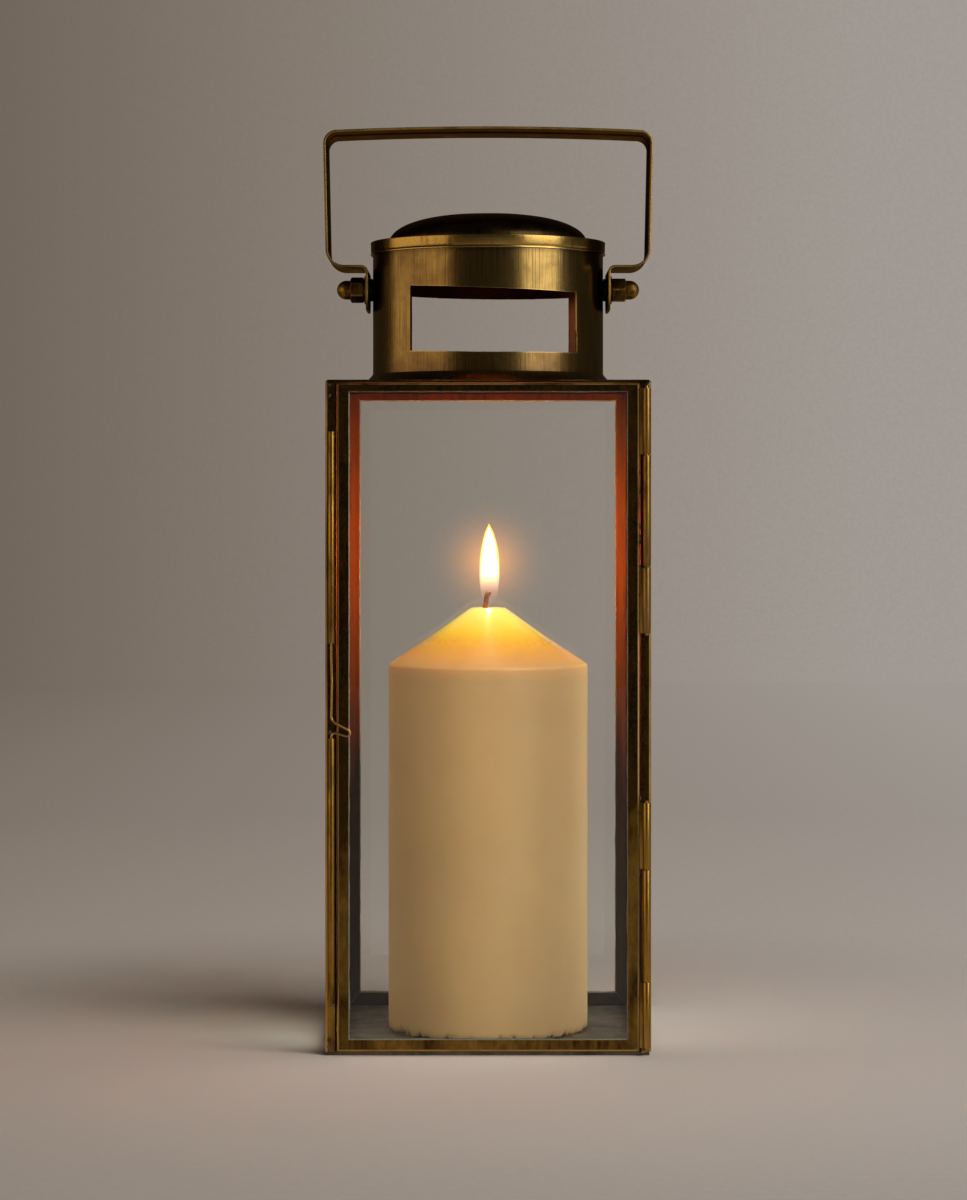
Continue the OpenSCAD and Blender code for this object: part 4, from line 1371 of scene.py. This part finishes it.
def studio_wall():
    t = Tree("studio_backdrop")
    return t.done(t.glow(studio_tone(t, t.place()), 1.0))


def studio_floor():
    """A pale matt floor near the lantern that turns into the backdrop's own light far off."""
    t = Tree("studio_floor")
    place = t.place()
    reach = t.node("ShaderNodeVectorMath", operation="LENGTH")
    t.link(t.coords((1, 1, 0)), reach.inputs[0])
    reach = reach.outputs["Value"]
    grain = t.noise(700, 3, 0.6)
    colour = t.mix(t.fade(grain, 0.3, 0.7, 0.0, 0.15), FLOOR_TONE,
                   tuple(c * 0.75 for c in FLOOR_TONE))
    # painted light: the near floor is tinted warmer to the left and cooler to the right
    cool = t.ramp(t.fade(place["X"], -0.12, 0.14), [(0.0, (1.0, 0.93, 0.90)),
                                                    (0.46, (0.98, 0.96, 0.94)),
                                                    (1.0, (0.94, 0.98, 1.0))])
    near = t.principled(Base_Color=t.mix(1.0, colour, cool, "MULTIPLY"), Roughness=0.8,
                        Specular_IOR_Level=0.3, Normal=t.bump(grain, 0.10, 0.0002))
    far = t.glow(studio_tone(t, place), t.fade(reach, 0.22, 0.85, 1.14, 0.98))
    return t.done(t.blend(t.fade(reach, 0.10, 0.33, kind="SMOOTHSTEP"), near, far))


def make_studio():
    """A round floor, a wall that curves up from it, and a faint even light."""
    room, rise, cove, ground, around = 2.4, 1.1, 0.12, -0.1 * MM, turns(96)
    radii = (0.1 * MM, 0.15, 0.3, 0.45, 0.6, 0.9, 1.3, 1.8, room)
    verts, faces = loft([[polar(r, a, ground) for a in around] for r in radii], capped=False)
    faces.append(tuple(range(len(around))))
    stage_piece("studio_floor", (verts, faces), studio_floor())

    bend = [math.radians(d) for d in range(0, 91, 15)]
    profile = [(room + cove * math.sin(a), ground + cove - cove * math.cos(a)) for a in bend]
    profile.append((room + cove, rise))
    shape = loft([[polar(r, a, z) for a in around] for r, z in profile], capped=False)
    wall = stage_piece("studio_wall", shape, studio_wall())
    wall.visible_glossy = wall.visible_diffuse = wall.visible_shadow = False

    scene = bpy.context.scene
    scene.world = bpy.data.worlds.new("studio")
    scene.world.use_nodes = True
    background = scene.world.node_tree.nodes["Background"]
    background.inputs["Color"].default_value = (1.0, 0.9, 0.8, 1)
    background.inputs["Strength"].default_value = WORLD_LIGHT
    scene.view_settings.view_transform = "Standard"


def area_light(name, azimuth, elevation, distance, size, power, colour, target):
    """A rectangular light. Azimuth is from the front (-Y) towards the right (+X)."""
    a, e = math.radians(azimuth), math.radians(elevation)
    way = Vector((math.sin(a) * math.cos(e), -math.cos(a) * math.cos(e), math.sin(e)))
    data = bpy.data.lights.new(name, "AREA")
    data.shape = "RECTANGLE"
    data.size, data.size_y = size
    data.energy = power
    data.color = colour
    obj = bpy.data.objects.new(name, data)
    obj.location = target + way * distance
    obj.rotation_euler = way.to_track_quat("Z", "Y").to_euler()
    obj.visible_camera = False
    bpy.context.scene.collection.objects.link(obj)
    return obj


def candle_light():
    """The flame's own light, which moves with the candle."""
    data = bpy.data.lights.new("candle_light", "POINT")
    data.energy = 0.45
    data.shadow_soft_size = 3.5 * MM
    data.color = (1.0, 0.28, 0.035)
    obj = bpy.data.objects.new("candle_light", data)
    bpy.context.scene.collection.objects.link(obj)
    obj.parent = frame["bodies"]["candle"]
    obj.location = (FLAME_X, 0, 164 * MM)
    obj.visible_camera = obj.visible_transmission = False
    return obj


def light_only(sources, name, receivers):
    """Lets lights or glowing pieces light only the receivers."""
    group = bpy.data.collections.new(name)
    for obj in receivers:
        group.objects.link(obj)
    for source in sources:
        source.light_linking.receiver_collection = group


def make_lights():
    """Two lights for shade and two for gloss, and the candle's own. Light linking keeps the
    point light off the wax, which glows by its material, and the lift off the floor."""
    centre = Vector((0, 0, 0.15))
    key = area_light("key", 49, 33, 1.25, (0.80, 1.0), 15.5, (1.0, 0.94, 0.88), centre)
    lift = area_light("lift", -40, 29, 1.5, (1.2, 1.0), 8.6, (1.0, 0.82, 0.62), centre)
    key.visible_glossy = lift.visible_glossy = False
    box = area_light("softbox", 54, 24, 1.25, (0.86, 1.10), 9.0, (1.0, 0.95, 0.86), centre)
    fill = area_light("fill", -73, 8, 1.3, (1.75, 0.8), 4.3, (1.0, 0.76, 0.50), centre)
    box.visible_diffuse = fill.visible_diffuse = False
    box.visible_transmission = fill.visible_transmission = False
    lantern = list(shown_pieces())
    flame = [o for o in lantern if o.name in ("flame_core", "flame_mantle")]
    own = [o for o in lantern if o in flame or o.name in ("candle_wax", "braided_wick")]
    panes = [o for o in lantern if o.name.endswith("_glass")]
    light_only([candle_light()], "lit_by_candle", [o for o in lantern if o not in own])
    light_only(flame, "lit_by_flame", own + panes)
    light_only([lift], "lit_by_lift", lantern)


def make_glow(centre, reach):
    """The soft glow in the air round the flame: a ball of thin light, without a surface."""
    t = Tree("flame_glow")
    fade = t.fade(t.distance(centre), 0.0, reach, 1.0, 0.0)
    light = t.glow((1.0, 0.35, 0.03), t.math("MULTIPLY", t.math("POWER", fade, 4.0), 62.0))
    t.link(light, t.out.inputs["Volume"])
    rings = []
    for i in range(1, 16):
        tilt = math.pi * i / 16
        rings.append([centre + polar(math.sin(tilt), a, math.cos(tilt)) * reach
                      for a in turns(24)])
    ball = stage_piece("flame_glow_air", loft(rings), t.material)
    ball.parent = frame["bodies"]["candle"]
    ball.visible_shadow = ball.visible_diffuse = ball.visible_glossy = False


# ---------------------------------------------------------------- run

def main():
    materials = {
        "frame": brass("frame_brass", 0.90, seed=0.1, rough=(0.34, 0.5), shine=0.6, handled=0.2),
        "door": brass("door_brass", 1.0, seed=0.25, shine=0.7, handled=0.21,
                      gold=(0.32, 0.185, 0.036)),
        "post": brass("post_brass", 0.90, seed=0.4, shine=0.65, handled=0.20),
        "plate": brass("plate_brass", 1.1, seed=0.55, shine=0.6),
        "collar": brushed_collar("collar_brass"),
        "rim": brass("rim_brass", 0.28, seed=0.15, rough=(0.20, 0.34), shine=0.5,
                     gold=(0.46, 0.30, 0.082)),
        "handle": brass("handle_brass", 0.80, seed=0.7, grain=0.6, shine=0.62,
                        gold=(0.32, 0.185, 0.038)),
        "dome": brass("dome_brass", 1.0, gold=(0.16, 0.11, 0.05), brown=(0.075, 0.048, 0.020),
                      rough=(0.22, 0.32), bump=0.5),
        "dark": brass("dark_brass", 0.95, gold=(0.12, 0.08, 0.03), seed=0.35),
        "part": brass("fitting_brass", 0.55, seed=0.9, grain=1.6),
        "hinge": brass("hinge_brass", 0.50, seed=0.65, grain=0.8),
        "bright": brass("wire_brass", 0.2, seed=0.8, gold=(0.42, 0.27, 0.075), rough=(0.26, 0.4),
                        shine=0.5),
        "tray": tray_metal("tray_metal"),
        "solder": solder("tarnished_solder"),
        "putty": glazing_putty("glazing_putty"),
        "glass": clear_glass("clear_glass"),
        "wax": ivory_wax("ivory_wax"),
        "wick": burnt_wick("burnt_wick"),
        "core": flame_core("flame_core"),
        "mantle": flame_mantle("flame_mantle"),
    }
    make_camera()
    make_panels(materials)
    make_posts(materials["post"])
    make_top_plate(materials["plate"])
    make_collar(materials["collar"])
    make_foot(materials["collar"])
    make_rim(materials["rim"])
    make_dome(materials["dome"])
    make_acorn_nut("acorn_nut_left", -1, 0, materials["part"])
    make_acorn_nut("acorn_nut_right", 1, 30, materials["part"])
    make_handle(materials["handle"])
    make_hinges(materials)
    make_catch(materials)
    make_solder(materials["solder"])
    make_putty(materials["putty"])
    make_candle(materials["wax"])
    make_wick(materials["wick"])
    make_flame(materials)
    keep_nodes(materials)
    make_studio()
    make_lights()
    make_glow(Vector((FLAME_X, 0, 166 * MM)), 30 * MM)


main()
